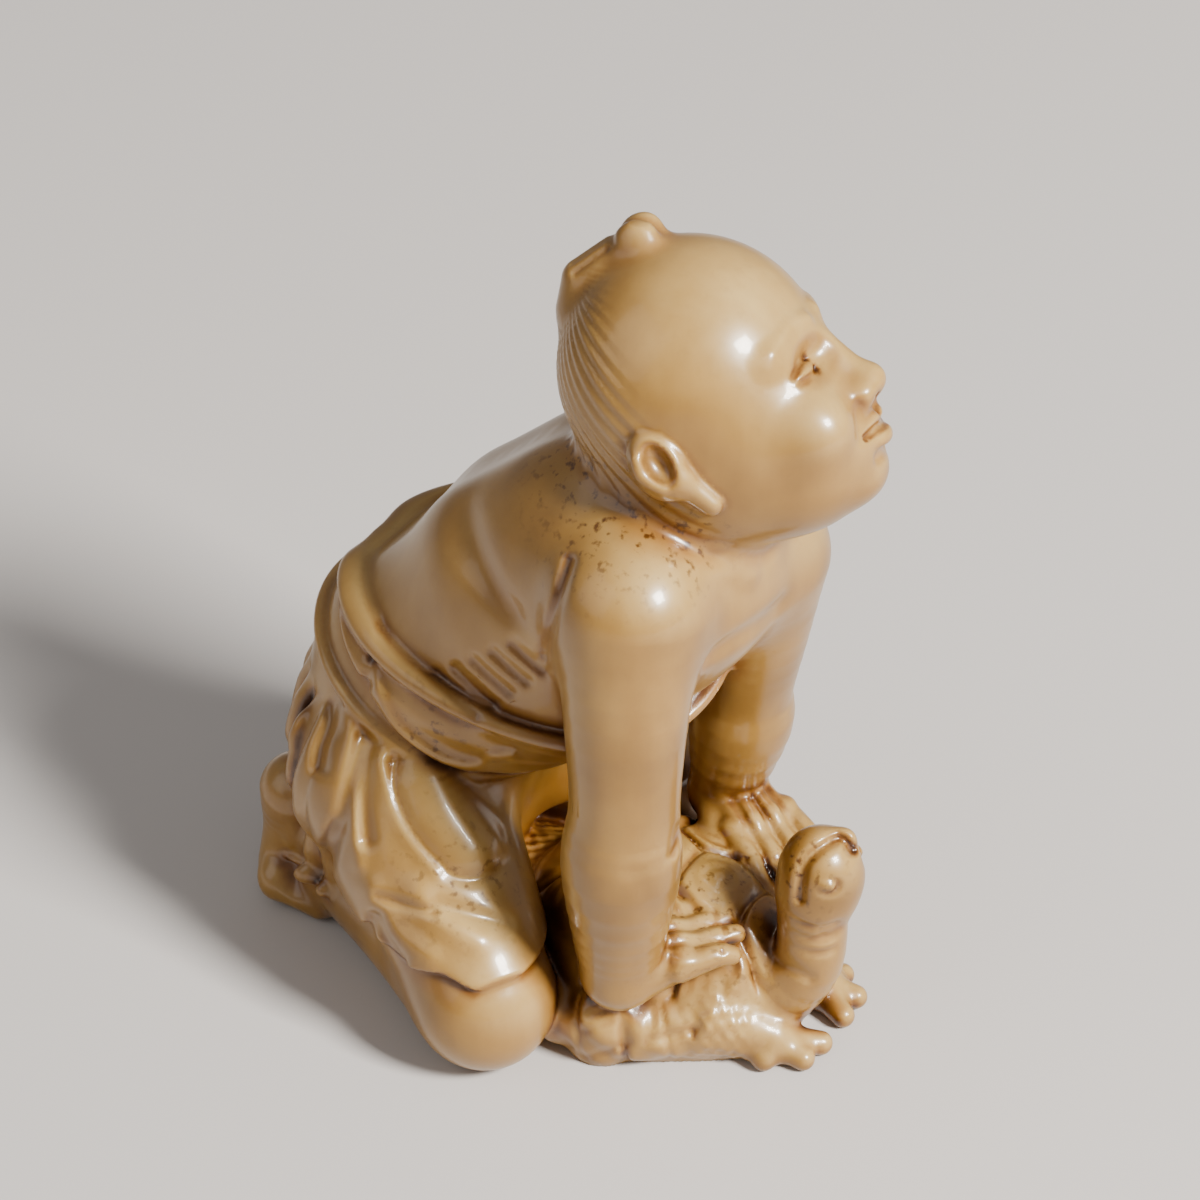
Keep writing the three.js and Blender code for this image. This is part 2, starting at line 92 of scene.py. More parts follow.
class Places:
    """A batch of places, three rows of numbers, and the ball that holds them."""

    def __init__(self, xyz, middle=None, radius=None):
        self.xyz = xyz
        self.x, self.y, self.z = xyz
        if middle is None:
            low, high = xyz.min(1), xyz.max(1)
            middle, radius = ((low + high) / 2).tolist(), math.dist(low, high) / 2
        self.middle, self.radius = middle, radius


def dot(v, q):
    return v[0] * q[0] + v[1] * q[1] + v[2] * q[2]


def length(v):
    return np.sqrt(dot(v, v))


def column(v):
    return np.array(v, np.float32)[:, None]


def within(middle, radius, form, far=None):
    """The form, or one number for the whole batch where that is far from the ball that holds the form."""
    middle = [float(m) for m in middle]

    def quick(p):
        gap = math.dist(p.middle, middle) - radius - p.radius
        if gap > REACH:
            return gap if far is None else far
        return form(p)

    return quick


def along(p, a, b):
    """How far each place is from the stretch a to b, and how far along it the nearest place lies."""
    run = (b - a).astype(np.float32)
    q = p.xyz - column(a)
    t = np.clip(dot(run / dot(run, run), q), 0, 1)
    q -= run[:, None] * t
    return length(q), t


def limb(a, b):
    """A round bar from a to b, as thick as the fourth number of each says."""
    a, b = np.array(a, np.float32), np.array(b, np.float32)

    def form(p):
        d, t = along(p, a[:3], b[:3])
        return d - a[3] - (b[3] - a[3]) * t

    return within((a + b)[:3] / 2, math.dist(a[:3], b[:3]) / 2 + max(a[3], b[3]), form)


def limbs(rows):
    """Round bars along a row of places."""
    bars = [limb(a, b) for a, b in zip(rows, rows[1:])]
    return lambda p: reduce(np.minimum, [bar(p) for bar in bars])


def egg(at, reach, turn=None):
    """An ellipsoid with its half lengths in reach, turned by a matrix if one is given."""
    once, twice = 1 / column(reach), 1 / column(reach) ** 2

    def form(p):
        q = p.xyz - column(at)
        q = q if turn is None else back_turned(turn, q)
        near, steep = length(q * once), length(q * twice)
        return near * (near - 1) / np.maximum(steep, 1e-6)

    return within(at, max(reach), form)


ball = egg([0, 0, 0], [2, 2, 2])
print("from a place 5 mm off the middle of a 2 mm ball to its skin, in mm:", ball(Places(column([5, 0, 0]))))

# %% [markdown]
# ## Melting and cutting
# Where an arm meets a shoulder there is no edge, so the plain smaller distance of two forms won't do.
# The soft minimum rounds the inner corner over a width k. Booleans and a Bevel could do it on meshes,
# but they break easily on organic shapes.

# %% Melting and cutting
def join(a, b, k):
    """Two forms melted into each other over the width k."""
    h = np.maximum(k - np.abs(a - b), 0) / k
    return np.minimum(a, b) - h * h * k / 4


def cut(a, b, k):
    """The form a without the form b, with an edge that is round over the width k."""
    return -join(-a, b, k)


def joined(k, forms):
    """Forms melted into each other. Those that answer with one number are too far away to melt."""

    def form(p):
        found = [one(p) for one in forms]
        near = [d for d in found if np.ndim(d)]
        far = min([d for d in found if not np.ndim(d)], default=REACH)
        return np.minimum(reduce(lambda a, b: join(a, b, k), near), far) if near else far

    return form


def step(low, high, t):
    """From 0 to 1 in a soft step, while t goes from low to high."""
    s = np.clip((t - low) / (high - low), 0, 1)
    return s * s * (3 - 2 * s)


print("where two forms meet, melting over 1 mm adds, in mm:", -join(0.0, 0.0, 1.0))

# %% [markdown]
# ## Drawing with the graver
# The finer carving is lines: folds, seams, lids and fingers. A line is a short row of places, rounded to
# a curve, along which the surface is pushed in or raised. It has the soft slopes of a polished cut.

# %% Lines
def bent(rows, parts=4):
    """The same row of places with its corners rounded, in a few short stretches for each long one."""
    rows = np.array(rows, float)
    ends = np.vstack([2 * rows[0] - rows[1], rows, 2 * rows[-1] - rows[-2]])
    made = []
    for a, b, c, d in zip(ends, ends[1:], ends[2:], ends[3:]):
        for t in np.arange(parts) / parts:
            sag, swing = 2 * a - 5 * b + 4 * c - d, 3 * b - a - 3 * c + d
            made.append(b + t * (c - a) / 2 + t**2 * sag / 2 + t**3 * swing / 2)
    return np.array(made + [rows[-1]])


def groove(rows, depth, width):
    """A groove along a row of places, or a raised line where the depth is below nought."""
    rows = np.array(rows, np.float32)
    middle = (rows.min(0) + rows.max(0)) / 2

    def form(p):
        nearest = reduce(np.minimum, [along(p, a, b)[0] for a, b in zip(rows, rows[1:])])
        return depth * np.exp(-((nearest / width) ** 2))

    faded = 3 * width  # how far off nothing is left of the groove
    return within(middle, np.linalg.norm(rows - middle, axis=1).max() + faded - REACH, form, far=0)


def grooves(several):
    """Several grooves, each a row of places with its depth and its width."""
    made = [groove(bent(rows), depth, width) for rows, depth, width in several]
    return lambda p: sum(form(p) for form in made)


print("a corner of 3 places becomes", len(bent([[0, 0, 0], [1, 0, 0], [1, 1, 0]])), "places")

# %% Turning and placing
def turned(turn, lift, lean):
    """A turn to the left, then a lift of the front, then a lean to the left, in degrees."""
    steps = [(turn, "Z"), (-lift, "Y"), (-lean, "X")]
    turns = [Matrix.Rotation(math.radians(angle), 3, axis) for angle, axis in steps]
    return np.array(reduce(Matrix.__matmul__, turns), np.float32)


def back_turned(turn, q):
    """Places seen from a turned frame."""
    return np.array([dot(row, q) for row in turn.T])


GRAVER = np.array([0.394, -0.682, 0.616])  # the way from which the graver is pressed into the right side
DEEP = 0.2  # how much a place's depth counts, against one to the side
PRESS = (np.eye(3) - (1 - DEEP) * np.outer(GRAVER, GRAVER)).astype(np.float32)


def engraved(several):
    """Grooves pressed in along the graver's way, on which a place's depth counts only a fifth."""
    marks = grooves([(np.array(rows) @ PRESS, depth, width) for rows, depth, width in several])
    return lambda p: marks(Places(back_turned(PRESS, p.xyz), (PRESS @ p.middle).tolist(), p.radius))


def placed(form, at, turn):
    """The form at home in a frame of its own, set at a place and turned."""

    def there(p):
        middle = back_turned(turn, np.array(p.middle) - at).tolist()
        return form(Places(back_turned(turn, p.xyz - column(at)), middle, p.radius))

    return there


def flipped(form):
    """The same form on the man's other side."""
    flip = column([1, -1, 1])
    return lambda p: form(Places(p.xyz * flip, [p.middle[0], -p.middle[1], p.middle[2]], p.radius))


print("1 mm deep counts as, in mm:", round(float(length(PRESS @ GRAVER)), 2))

# %% [markdown]
# ## The bare body
# The trunk leans forward on straight arms. The carver shows an old man's thin back: a furrow with the
# backbone in it, the blades of the shoulders, and ribs on the flanks.

# %% Back and ribs
BACKBONE = [[-10.4, 0, 20.0], [-4.8, 0, 26.0], [0.6, 0.2, 30.6]]
VERTEBRA = 1.15  # mm from one to the next


def ribs():
    """Five cuts on the flank, each lower, further back and longer than the last."""
    marks = []
    for i in range(5):
        start = np.array([1.3 - 0.98 * i, -6.2, 21.9 - 0.83 * i])
        end = start + [1.4 + 0.15 * i, 0.1, -0.9 - 0.12 * i]
        marks.append(([start, start + [0.7, 0, -0.45], end], 0.24, 0.28))
    return engraved(marks)


def backbone():
    """A low ridge of small beads in a broad furrow."""
    rows = np.array(BACKBONE, np.float32)
    furrow = grooves([(rows, 0.7, 1.3)])
    way = (rows[2] - rows[0]) / np.linalg.norm(rows[2] - rows[0])

    def beads(p):
        near = reduce(np.minimum, [along(p, a, b)[0] for a, b in zip(rows, rows[1:])])
        beat = np.cos(dot(way, p.xyz) * (2 * math.pi / VERTEBRA))
        return -np.exp(-((near / 0.6) ** 2)) * (0.5 + 0.12 * beat)

    ridge = within(rows[1], 8.0 - REACH, beads, far=0)
    return lambda p: furrow(p) + ridge(p)


# %% Trunk
def trunk():
    """Belly, chest, shoulders and neck, with the lines of a thin old man's back and chest on them."""
    lean = turned(0, 42, 0)
    body = joined(2.5, [
        egg([-5.4, 0, 14.8], [6.8, 6.0, 6.0], lean),
        egg([0.2, 0.1, 20.2], [7.6, 6.3, 7.0], lean),
        egg([4.0, 0.2, 24.2], [5.6, 6.4, 6.4], lean),
        limb([6.0, -4.6, 25.2, 2.9], [6.8, 4.0, 22.9, 2.8]),
        limb([4.6, 0.3, 25.6, 3.4], [6.0, 0.9, 30.0, 2.9]),
    ])
    blade = grooves([([[-3.2, -3.6, 25.6], [-1.2, -4.9, 24.6], [1.0, -5.7, 23.4]], 0.3, 0.9)])
    front = grooves([
        ([[9.2, -3.6, 22.4], [10.2, -1.5, 22.6], [10.4, 1.4, 22.2]], 0.4, 0.6),
        ([[9.6, -0.9, 25.4], [8.9, -2.9, 26.7], [7.6, -5.2, 27.6]], -0.35, 0.5),
        ([[9.5, 0.9, 25.2], [9.0, 2.9, 25.6], [8.2, 4.8, 25.2]], -0.35, 0.5),
        ([[8.7, -2.3, 28.4], [9.5, -1.2, 25.6]], -0.35, 0.5),
    ])
    forms = [body, backbone(), blade, flipped(blade), front, ribs(), flipped(ribs())]
    return lambda p: sum(form(p) for form in forms)


print("backbone from end to end, in mm:", round(math.dist(BACKBONE[0], BACKBONE[-1]), 1))

# %% [markdown]
# ## Arms and hands
# Both arms are stretched straight down to the shell, the right one upright and the left one slanting.
# An arm is a row of places, each with its thickness, joined by round bars. Each hand lies flat with its
# four fingers side by side, and fine cuts part them and mark knuckles and nails.

# %% Arms
RIGHT_ARM = [
    [6.6, -5.2, 25.2, 3.1],
    [6.7, -5.9, 20.9, 2.75],
    [6.8, -6.2, 15.6, 2.4],
    [6.7, -6.3, 12.2, 2.65],
    [6.4, -5.9, 7.8, 2.1],
    [6.35, -5.75, 5.45, 1.75],
]
LEFT_ARM = [
    [7.6, 4.5, 22.2, 2.9],
    [6.9, 5.1, 17.4, 2.45],
    [6.3, 5.5, 13.6, 2.15],
    [6.0, 5.7, 11.4, 2.35],
    [5.2, 5.9, 7.2, 1.6],
]
ARM_LINES = [  # the fold of the armpit, the bend of the elbow and a soft hollow down the forearm
    ([[4.2, -6.3, 27.6], [4.3, -7.4, 26.5], [4.0, -7.6, 25.0], [2.9, -6.3, 21.9]], 0.26, 0.26),
    ([[9.0, -5.4, 14.4], [9.3, -6.5, 13.8]], 0.16, 0.22),
    ([[8.0, -7.2, 12.6], [8.4, -6.2, 9.6]], 0.09, 0.47),
]
print("right arm, in mm:", round(math.dist(RIGHT_ARM[0][:3], RIGHT_ARM[-1][:3]), 1))

# %% Hands
RIGHT_HAND = {"wrist": [6.35, -5.75, 5.25], "tip": [9.7, -1.6, 6.3], "thumb": -1}
LEFT_HAND = {"wrist": [5.2, 5.9, 6.8], "tip": [10.4, 3.2, 6.0], "thumb": 1}
HAND_WIDTH = 4.2
FINGERS = (-1.5, -0.5, 0.5, 1.5)  # how far each lies from the hand's middle line, in fingers


def hand(wrist, tip, thumb):
    """A hand laid flat: a palm, four fingers side by side and a thumb on its inner edge."""
    wrist = np.array(wrist)
    ahead = np.array(tip) - wrist
    across = np.array([-ahead[1], ahead[0], 0]) / math.hypot(ahead[0], ahead[1]) * HAND_WIDTH / 4

    def spot(f, s, h):
        """A place f of the way to the tips, s fingers to the side and h mm up."""
        return [*(wrist + ahead * f + across * s + [0, 0, h])]

    forms = [limb([*spot(0, 0, 0), 1.7], [*spot(0.45, s, 0.1), 1.2]) for s in (0.5, -0.5)]
    marks = []
    for s in FINGERS:
        far, tip_side = 1 - 0.06 * s * s, s * 1.05
        root, middle = [*spot(0.42, s * 0.9, 0.15), 0.66], [*spot(0.72, s, 0.2), 0.56]
        forms.append(limbs(bent([root, middle, [*spot(far, tip_side, -0.1), 0.45]])))
        forms.append(egg(spot(0.45, s * 0.9, 0.65), [0.5, 0.5, 0.3]))
        nail = [spot(far - 0.1, tip_side + half, 0.5) for half in (-0.2, 0.2)]
        marks.append((nail, 0.14, 0.12))
        marks.append(([spot(0.74, s - 0.25, 0.95), spot(0.74, s + 0.25, 0.95)], 0.1, 0.1))
    for s in (-1, 0, 1):
        marks.append(([spot(0.3, s * 0.8, 1.3), spot(0.75, s, 0.8)], 0.22, 0.2))
    ball_of_thumb, end = [*spot(0.1, -thumb * 0.9, -0.1), 0.9], [*spot(0.45, -thumb * 2.2, -0.2), 0.65]
    forms.append(limbs(bent([ball_of_thumb, end])))
    whole, lines = joined(0.25, forms), grooves(marks)
    return lambda p: whole(p) + lines(p)


print("right hand, in mm:", round(math.dist(RIGHT_HAND["wrist"], RIGHT_HAND["tip"]), 1))

# %% [markdown]
# ## Legs and feet
# He kneels with his knees wide apart. Each thigh lies on its shin, and the feet stand on their balls
# behind him. Both legs are alike, so only the left one is made, and the right one is the same, flipped.

# %% Legs and feet
THIGH = [[-6.2, 3.9, 10.0, 4.2], [0.6, 8.1, 3.6, 3.1]]
SHIN = [[0.9, 8.3, 2.9, 3.0], [-4.7, 5.1, 2.4, 2.5], [-9.8, 2.9, 2.2, 2.0]]
SOLE = [[-12.2, 3.0, 6.0, 1.75], [-12.7, 2.8, 3.6, 1.35], [-13.0, 2.9, 1.5, 1.3]]
BALL = [[-13.0, 1.7, 1.3, 1.15], [-12.7, 4.0, 1.3, 1.05]]
TOES = [1.4, 2.3, 3.0, 3.7, 4.4]  # how far to the side each toe lies, the big one first


def leg():
    """The left leg, with the thigh on the shin and the toes bent under the foot."""
    toes = []
    for i, y in enumerate(TOES):
        toes.append(limb([-12.6, y, 1.0, 0.6], [-11.0 + 0.15 * i, y, 0.6, 0.5 if i else 0.7]))
    foot = joined(0.5, [limbs(bent(SOLE)), limbs(BALL), *toes])
    return joined(1.0, [limbs(THIGH), limbs(bent(SHIN)), foot])


print("thigh, in mm:", round(math.dist(THIGH[0][:3], THIGH[1][:3]), 1))

# %% [markdown]
# ## The head
# The head has a frame of its own: x to the face, y to his left ear and z to the crown. The face is a calm
# one on a schoolbook plan: the eyes lie half way up the head and one eye's width apart, and brow, foot
# of the nose and chin part the face in even thirds.

# %% Masses of the face
EYE_OUT, EYE_UP = 2.05, 0.3  # mm: the middle of an eye, in the head's own frame


def features():
    """The masses of the face: nose, lips, chin, brows and cheeks."""
    forms = [
        limb([5.7, 0, 1.4, 0.5], [6.95, 0, -1.4, 0.6]),
        egg([6.9, 0, -1.65], [0.85, 0.75, 0.65]),
        limb([5.2, -1.1, -3.4, 0.75], [5.2, 1.1, -3.4, 0.75]),
        egg([4.5, 0, -5.0], [1.2, 1.5, 1.0]),
    ]
    for side in (-1, 1):
        forms += [
            limb([5.7, 0.8 * side, 1.8, 0.45], [4.7, 3.2 * side, 1.7, 0.45]),
            egg([4.3, 2.5 * side, -1.9], [2.0, 1.5, 1.8]),
            egg([6.6, 0.95 * side, -1.85], [0.65, 0.45, 0.48]),
        ]
    return joined(0.7, forms)


# %% Lines of the face
def mirrored(rows):
    """The same places on the head's other side."""
    return [[x, -y, z, *rest] for x, y, z, *rest in rows]


def face_lines():
    """The lines of the face: lids, brows, mouth and chin."""
    upper = [[5.6, 1.35, 0.72], [5.8, 2.05, 0.9], [5.4, 3.05, 0.6]]
    slit = [[5.72, 1.35, 0.16], [5.98, 2.05, 0.1], [5.55, 3.05, 0.2]]
    brow = [[6.5, 0.8, 2.1], [6.1, 2.05, 2.4], [5.3, 3.4, 2.0]]
    cheek = [[6.6, 1.4, -2.1], [6.2, 1.95, -3.2]]
    marks = []
    paired = ((upper, 0.14, 0.15), (slit, 0.2, 0.15), (brow, -0.14, 0.35), (cheek, 0.14, 0.3))
    for rows, depth, width in paired:
        marks += [(rows, depth, width), (mirrored(rows), depth, width)]
    mouth = [[6.1, 1.5, -3.4], [6.55, 0.6, -3.42], [6.68, 0, -3.52]]
    marks += [
        ([[6.75, 0, -2.55], [6.6, 0, -3.0]], 0.14, 0.22),
        (mouth + mirrored(mouth[:2])[::-1], 0.34, 0.15),
        ([[5.9, -0.9, -4.5], [6.1, 0, -4.6], [5.9, 0.9, -4.5]], 0.22, 0.28),
    ]
    return grooves(marks)


def ear():
    """The left ear: a leaf with a hollow, a rim's fold and a long lobe."""
    leaf = egg([-1.0, 5.0, 0.4], [1.2, 0.85, 1.65])
    hollow = egg([-0.75, 5.9, 0.55], [0.6, 0.85, 1.05])
    lobe = limb([-0.5, 4.75, -0.8, 0.65], [-0.1, 4.5, -2.2, 0.5])
    fold = grooves([([[-1.5, 5.7, 1.2], [-1.7, 5.7, 0.4], [-1.2, 5.6, -0.5]], -0.2, 0.2)])
    return lambda p: cut(join(leaf(p), lobe(p), 0.5), hollow(p), 0.3) + fold(p)


# %% [markdown]
# ## Hair and skull
# The crown is smooth, and the hair at the back and sides is combed up to a small knot on the crown. The
# comb lines are a low wave that turns round the knot, so they all run to it by themselves.

# %% Hair
HEAD = {"at": [6.7, 1.0, 31.0], "turn": turned(28, 35, 20)}  # to his left, lifted and leaned
KNOT = [-1.6, 0, 7.6]  # where the hair is tied
STRANDS = 48
TIES = [([[0.9, -0.9, 8.9], [0.9, 0, 9.2], [0.9, 0.9, 8.9]], 0.25, 0.18)]  # the string round the knot
for side in (-1, 1):
    TIES += [
        ([[-1.2, 0.35 * side, 8.9], [0.6, 0.35 * side, 9.1]], 0.12, 0.14),
        ([[-1.2, 0.8 * side, 8.5], [0.6, 0.75 * side, 8.7]], 0.12, 0.14),
    ]


def combed(p):
    """Fine strands at the back of the head that all run to the knot."""
    u, v = p.y - KNOT[1], 0.9 * (p.x - KNOT[0]) + 0.3 * (p.z - KNOT[2])
    hair = step(0.2, -1.8, p.x - 0.1 * p.z)
    return 0.035 * np.cos(STRANDS * np.arctan2(v, u)) * hair * step(0.8, 2.2, np.sqrt(u * u + v * v))


# %% Head
def head():
    """The whole head in its own frame."""
    skull = joined(1.6, [
        egg([0.7, 0, 2.4], [5.7, 5.3, 5.75]),
        egg([-0.7, 0, -0.8], [4.1, 4.3, 4.6]),
        egg([2.2, 0, -1.4], [4.4, 4.3, 4.5]),
        egg([3.1, 0, -3.6], [2.8, 3.0, 2.2]),
    ])
    raised, lines = features(), face_lines()
    sockets = [egg([6.65, s * EYE_OUT, EYE_UP + 0.3], [1.05, 1.35, 0.85]) for s in (-1, 1)]
    lids = [egg([5.0, s * EYE_OUT, EYE_UP], [0.97, 1.2, 0.75]) for s in (-1, 1)]
    nostrils = [egg([7.05, s * 0.42, -2.35], [0.34, 0.2, 0.3]) for s in (-1, 1)]
    upper = [[5.95, 1.3, -3.25, 0.26], [6.35, 0.55, -3.02, 0.36], [6.42, 0, -3.12, 0.33]]
    lower = [[5.95, 1.05, -3.75, 0.26], [6.25, 0.5, -3.9, 0.38], [6.32, 0, -3.95, 0.42]]
    lips = joined(0.15, [limbs(bent(row + mirrored(row[:2])[::-1])) for row in (upper, lower)])
    hair = joined(0.5, [
        limbs([[-2.0, 0, 7.0, 1.05], [-1.3, 0, 7.95, 0.95], [0.6, 0, 8.2, 0.85]]),
        egg([1.8, 0.55, 8.5], [0.95, 0.6, 0.75]),
        egg([1.8, -0.55, 8.5], [0.95, 0.6, 0.75]),
    ])
    knot = grooves(TIES)
    ears = [ear(), flipped(ear())]

    def form(p):
        d = join(skull(p) + combed(p), raised(p), 0.8)
        for socket in sockets:
            d = cut(d, socket(p), 0.6)
        for lid in lids:
            d = join(d, lid(p), 0.25)
        d = join(d, lips(p), 0.2) + lines(p)
        for nostril in nostrils:
            d = cut(d, nostril(p), 0.15)
        d = join(d, hair(p) + knot(p), 1.0)
        return np.minimum(join(d, ears[0](p), 0.25), join(d, ears[1](p), 0.25))

    return form


print("comb lines all round:", STRANDS)

# %% [markdown]
# ## The cloth
# His robe has slipped from the shoulders and is rolled round the waist as a thick sash, with a thin cord
# under it. The skirt hangs from the cord round the seat and is drawn forward over the thighs.

# %% Sash
SASH_TOP, SASH_TOP_SLOPE = 17.54, -0.24  # height of the upper edge at the middle, and its slope forward
SASH_RISE = 0.35  # how much the upper edge rises to the left side
SASH_FOOT, SASH_FOOT_SLOPE = 11.97, -0.72
SASH_THICK = 0.55
CORD, CORD_SLOPE = 11.54, -0.5  # the same for the thin cord


def roll(body, lift, off, thick):
    """A bead that runs round the body, off its surface, where lift is nought."""
    return np.sqrt((body - off) ** 2 + lift**2) - thick


LEAF_EDGE = [
    [-6.1, -6.0, 17.6], [-5.6, -6.3, 16.7], [-4.9, -6.5, 15.7], [-4.2, -6.5, 15.0], [-3.2, -6.2, 14.2],
    [-2.4, -5.9, 13.7], [-1.4, -5.3, 13.4], [-0.4, -5.2, 14.2], [0.5, -5.2, 14.8],
]
RIM_FOOT = [
    [-5.8, -5.0, 18.7], [-4.8, -5.7, 18.1], [-3.5, -6.1, 17.5], [-2.3, -6.2, 17.0], [-1.2, -6.2, 16.8],
    [0.6, -5.6, 16.6],
]
NOTCH = [[-6.1, -4.8, 19.1], [-6.0, -5.2, 18.5], [-6.1, -6.0, 17.6], [-6.1, -6.2, 16.8]]


def sash(body):
    """The cloth rolled round the waist: a band, a round rim along its top and a thin cord under it."""
    under_rim = engraved([(RIM_FOOT, 0.2, 0.32)])
    leaf = engraved([(NOTCH, 0.3, 0.28), (LEAF_EDGE, -0.22, 0.32)])
    marks = [under_rim, flipped(under_rim), leaf]

    def form(p):
        bare = body(p)
        if not np.ndim(bare):
            return bare
        over = p.z - (SASH_TOP + SASH_TOP_SLOPE * p.x + SASH_RISE * np.maximum(p.y + 1, 0))
        under = SASH_FOOT + SASH_FOOT_SLOPE * p.x - p.z
        folds = 0.05 * np.cos(3.4 * over + 0.5 * p.x)
        band = cut(cut(bare - SASH_THICK, -over, 0.4), -under, 0.4)
        cloth = band + folds + sum(mark(p) for mark in marks)
        rim = roll(bare, (over + 0.45) * 0.95, 0.4, 0.45)
        cord = roll(bare, (CORD + CORD_SLOPE * p.x - p.z) * 0.9, 0.2, 0.3)
        return np.minimum(join(cloth, rim, 0.25), cord)

    return form


print("height of the sash in the middle, in mm:", round(SASH_TOP - SASH_FOOT, 2))

# %% [markdown]
# ## The skirt
# Cloth that is pulled tight over a thigh shows few folds, and all of them run from where it is held.
# So the big folds on the thigh are drawn one by one, and only the even pleats behind are made by rule:
# a wave round the seat with broad rounds and sharp valleys.

# %% Folds
HEM = 2.7  # mm over the ground, behind
FOLDS, FOLD_DEPTH = 26, 0.3  # pleats all round, and how deep they are
KNEE = 1.05  # how far along the thigh the cloth ends
THIGH_HEM = 5.9  # mm over the ground, on the thigh
CLOTH = 0.5  # its thickness
SKIRT_LINES = [  # each a row of places, its depth, below nought where the cloth stands up, and its width
    ([[-1.8, -9.4, 8.9], [-0.6, -9.5, 7.9], [1.2, -9.3, 7.4]], -0.22, 0.7),
    ([[-4.0, -9.7, 8.4], [-2.6, -10.4, 7.2], [-0.6, -10.6, 6.8]], -0.2, 0.6),
    ([[-0.8, -9.3, 8.6], [1.8, -8.0, 7.6]], 0.2, 0.4),
    (
        [[-6.2, -6.7, 14.1], [-6.2, -7.6, 12.9], [-6.3, -8.2, 11.5], [-6.4, -8.5, 10.4], [-7.3, -8.3, 7.7]],
        0.42, 0.42,
    ),
    ([[-5.7, -6.8, 13.9], [-5.6, -7.6, 12.9], [-5.2, -8.3, 11.6], [-4.8, -8.8, 10.4]], 0.34, 0.4),
    ([[-6.0, -6.9, 13.8], [-5.8, -7.6, 12.8], [-5.6, -8.4, 11.5], [-4.9, -9.3, 9.2]], -0.16, 0.35),
    ([[-5.1, -7.0, 13.5], [-4.3, -7.5, 12.3], [-3.2, -8.0, 11.0], [-1.5, -8.2, 9.7]], -0.22, 0.4),
    (
        [[-4.5, -6.7, 13.3], [-3.6, -7.5, 11.8], [-1.7, -7.9, 10.1], [-0.4, -7.8, 9.6], [0.2, -6.8, 9.4]],
        0.4, 0.42,
    ),
    ([[-8.3, -5.8, 14.4], [-8.1, -6.4, 13.8], [-8.2, -6.9, 13.0], [-7.9, -7.6, 12.4]], 0.38, 0.38),
    ([[-7.5, -6.0, 14.6], [-6.8, -6.7, 14.1], [-6.5, -7.5, 13.1], [-6.6, -8.4, 10.6]], -0.18, 0.4),
    ([[-9.6, -5.3, 14.0], [-10.0, -5.7, 11.4], [-10.4, -5.7, 8.4]], 0.34, 0.41),
    ([[-11.3, -5.4, 10.3], [-12.3, -4.3, 7.2], [-12.1, -4.7, 6.1]], 0.34, 0.48),
    ([[-11.0, -4.6, 5.4], [-11.3, -4.8, 3.8]], 0.29, 0.4),
    ([[-6.5, -8.5, 10.1], [-6.9, -8.5, 8.9], [-8.0, -7.5, 6.5]], 0.29, 0.4),
    (
        [[-12.7, -4.2, 3.2], [-10.3, -4.8, 3.5], [-9.2, -5.5, 3.6],
         [-8.0, -6.1, 2.9], [-6.2, -7.1, 2.7], [-3.6, -10.0, 4.7]],
        0.38, 0.4,
    ),
    ([[-3.6, -9.8, 8.3], [-2.1, -9.8, 8.4], [-1.0, -9.6, 8.4]], 0.19, 0.25),
    ([[-3.5, -10.0, 7.3], [-2.9, -10.3, 6.5], [-1.9, -10.7, 6.0]], 0.27, 0.29),
    ([[-3.9, -9.9, 7.1], [-4.3, -9.6, 5.5]], 0.27, 0.29),
]
print(len(SKIRT_LINES), "folds drawn one by one, and", FOLDS, "pleats if they ran all round")


# %% Skirt
def skirt(body):
    """The robe from the waist down: a full round behind, and a sleeve of cloth over each thigh."""
    hip, knee = np.array(THIGH, np.float32)
    end = hip + (knee - hip) * KNEE
    way = (end - hip)[:3] / np.linalg.norm((end - hip)[:3])
    thigh = limb(hip, knee)

    def sleeve(p):
        past = dot(way, p.xyz - end[:3, None])
        below = THIGH_HEM + 0.2 * np.cos(1.5 * p.x) - p.z
        return cut(thigh(p) - CLOTH, -np.maximum(past, below), 0.25)

    def waist(p):
        return cut(body(p) + 0.2, SASH_FOOT + 1.0 + CORD_SLOPE * p.x - p.z, 0.5)

    robe = joined(1.8, [
        egg([-6.8, 0, 10.4], [5.5, 6.4, 5.8]),
        limb([-7.4, 0, 9.0, 5.1], [-8.2, 0, 2.2, 5.85]),
        waist,
        sleeve,
        flipped(sleeve),
    ])
    lines = engraved(SKIRT_LINES)
    fewer = SKIRT_LINES[:5] + SKIRT_LINES[6:8] + SKIRT_LINES[10:15]  # the left side is plainer
    others = flipped(engraved(fewer))

    def form(p):
        around = np.arctan2(p.y, -p.x - 6.5)
        behind = step(1.45, 1.05, np.abs(around)) * step(14.5, 12.5, p.z)
        folds = FOLD_DEPTH * (1 - 2 * np.abs(np.sin(FOLDS / 2 * around + 0.15 * p.z))) * behind
        return cut(robe(p) + folds + lines(p) + others(p), p.z - HEM, 0.4)

    return form


# The cloth that is drawn forward from the sash over the right thigh
FLAP = [[-3.6, -5.8, 11.9, 1.7], [-2.6, -6.2, 10.6, 1.9], [-1.5, -6.3, 9.4, 1.95]]

# %% [markdown]
# ## The turtle
# The turtle carries the man's hands on its domed shell, with its neck stretched up and its front feet
# spread on the ground. On a real shell every plate starts from a middle and grows in rings. So each
# place belongs to the nearest of a few middles, the seams lie where two of them are equally near, and
# the rings are a fine wave round each.

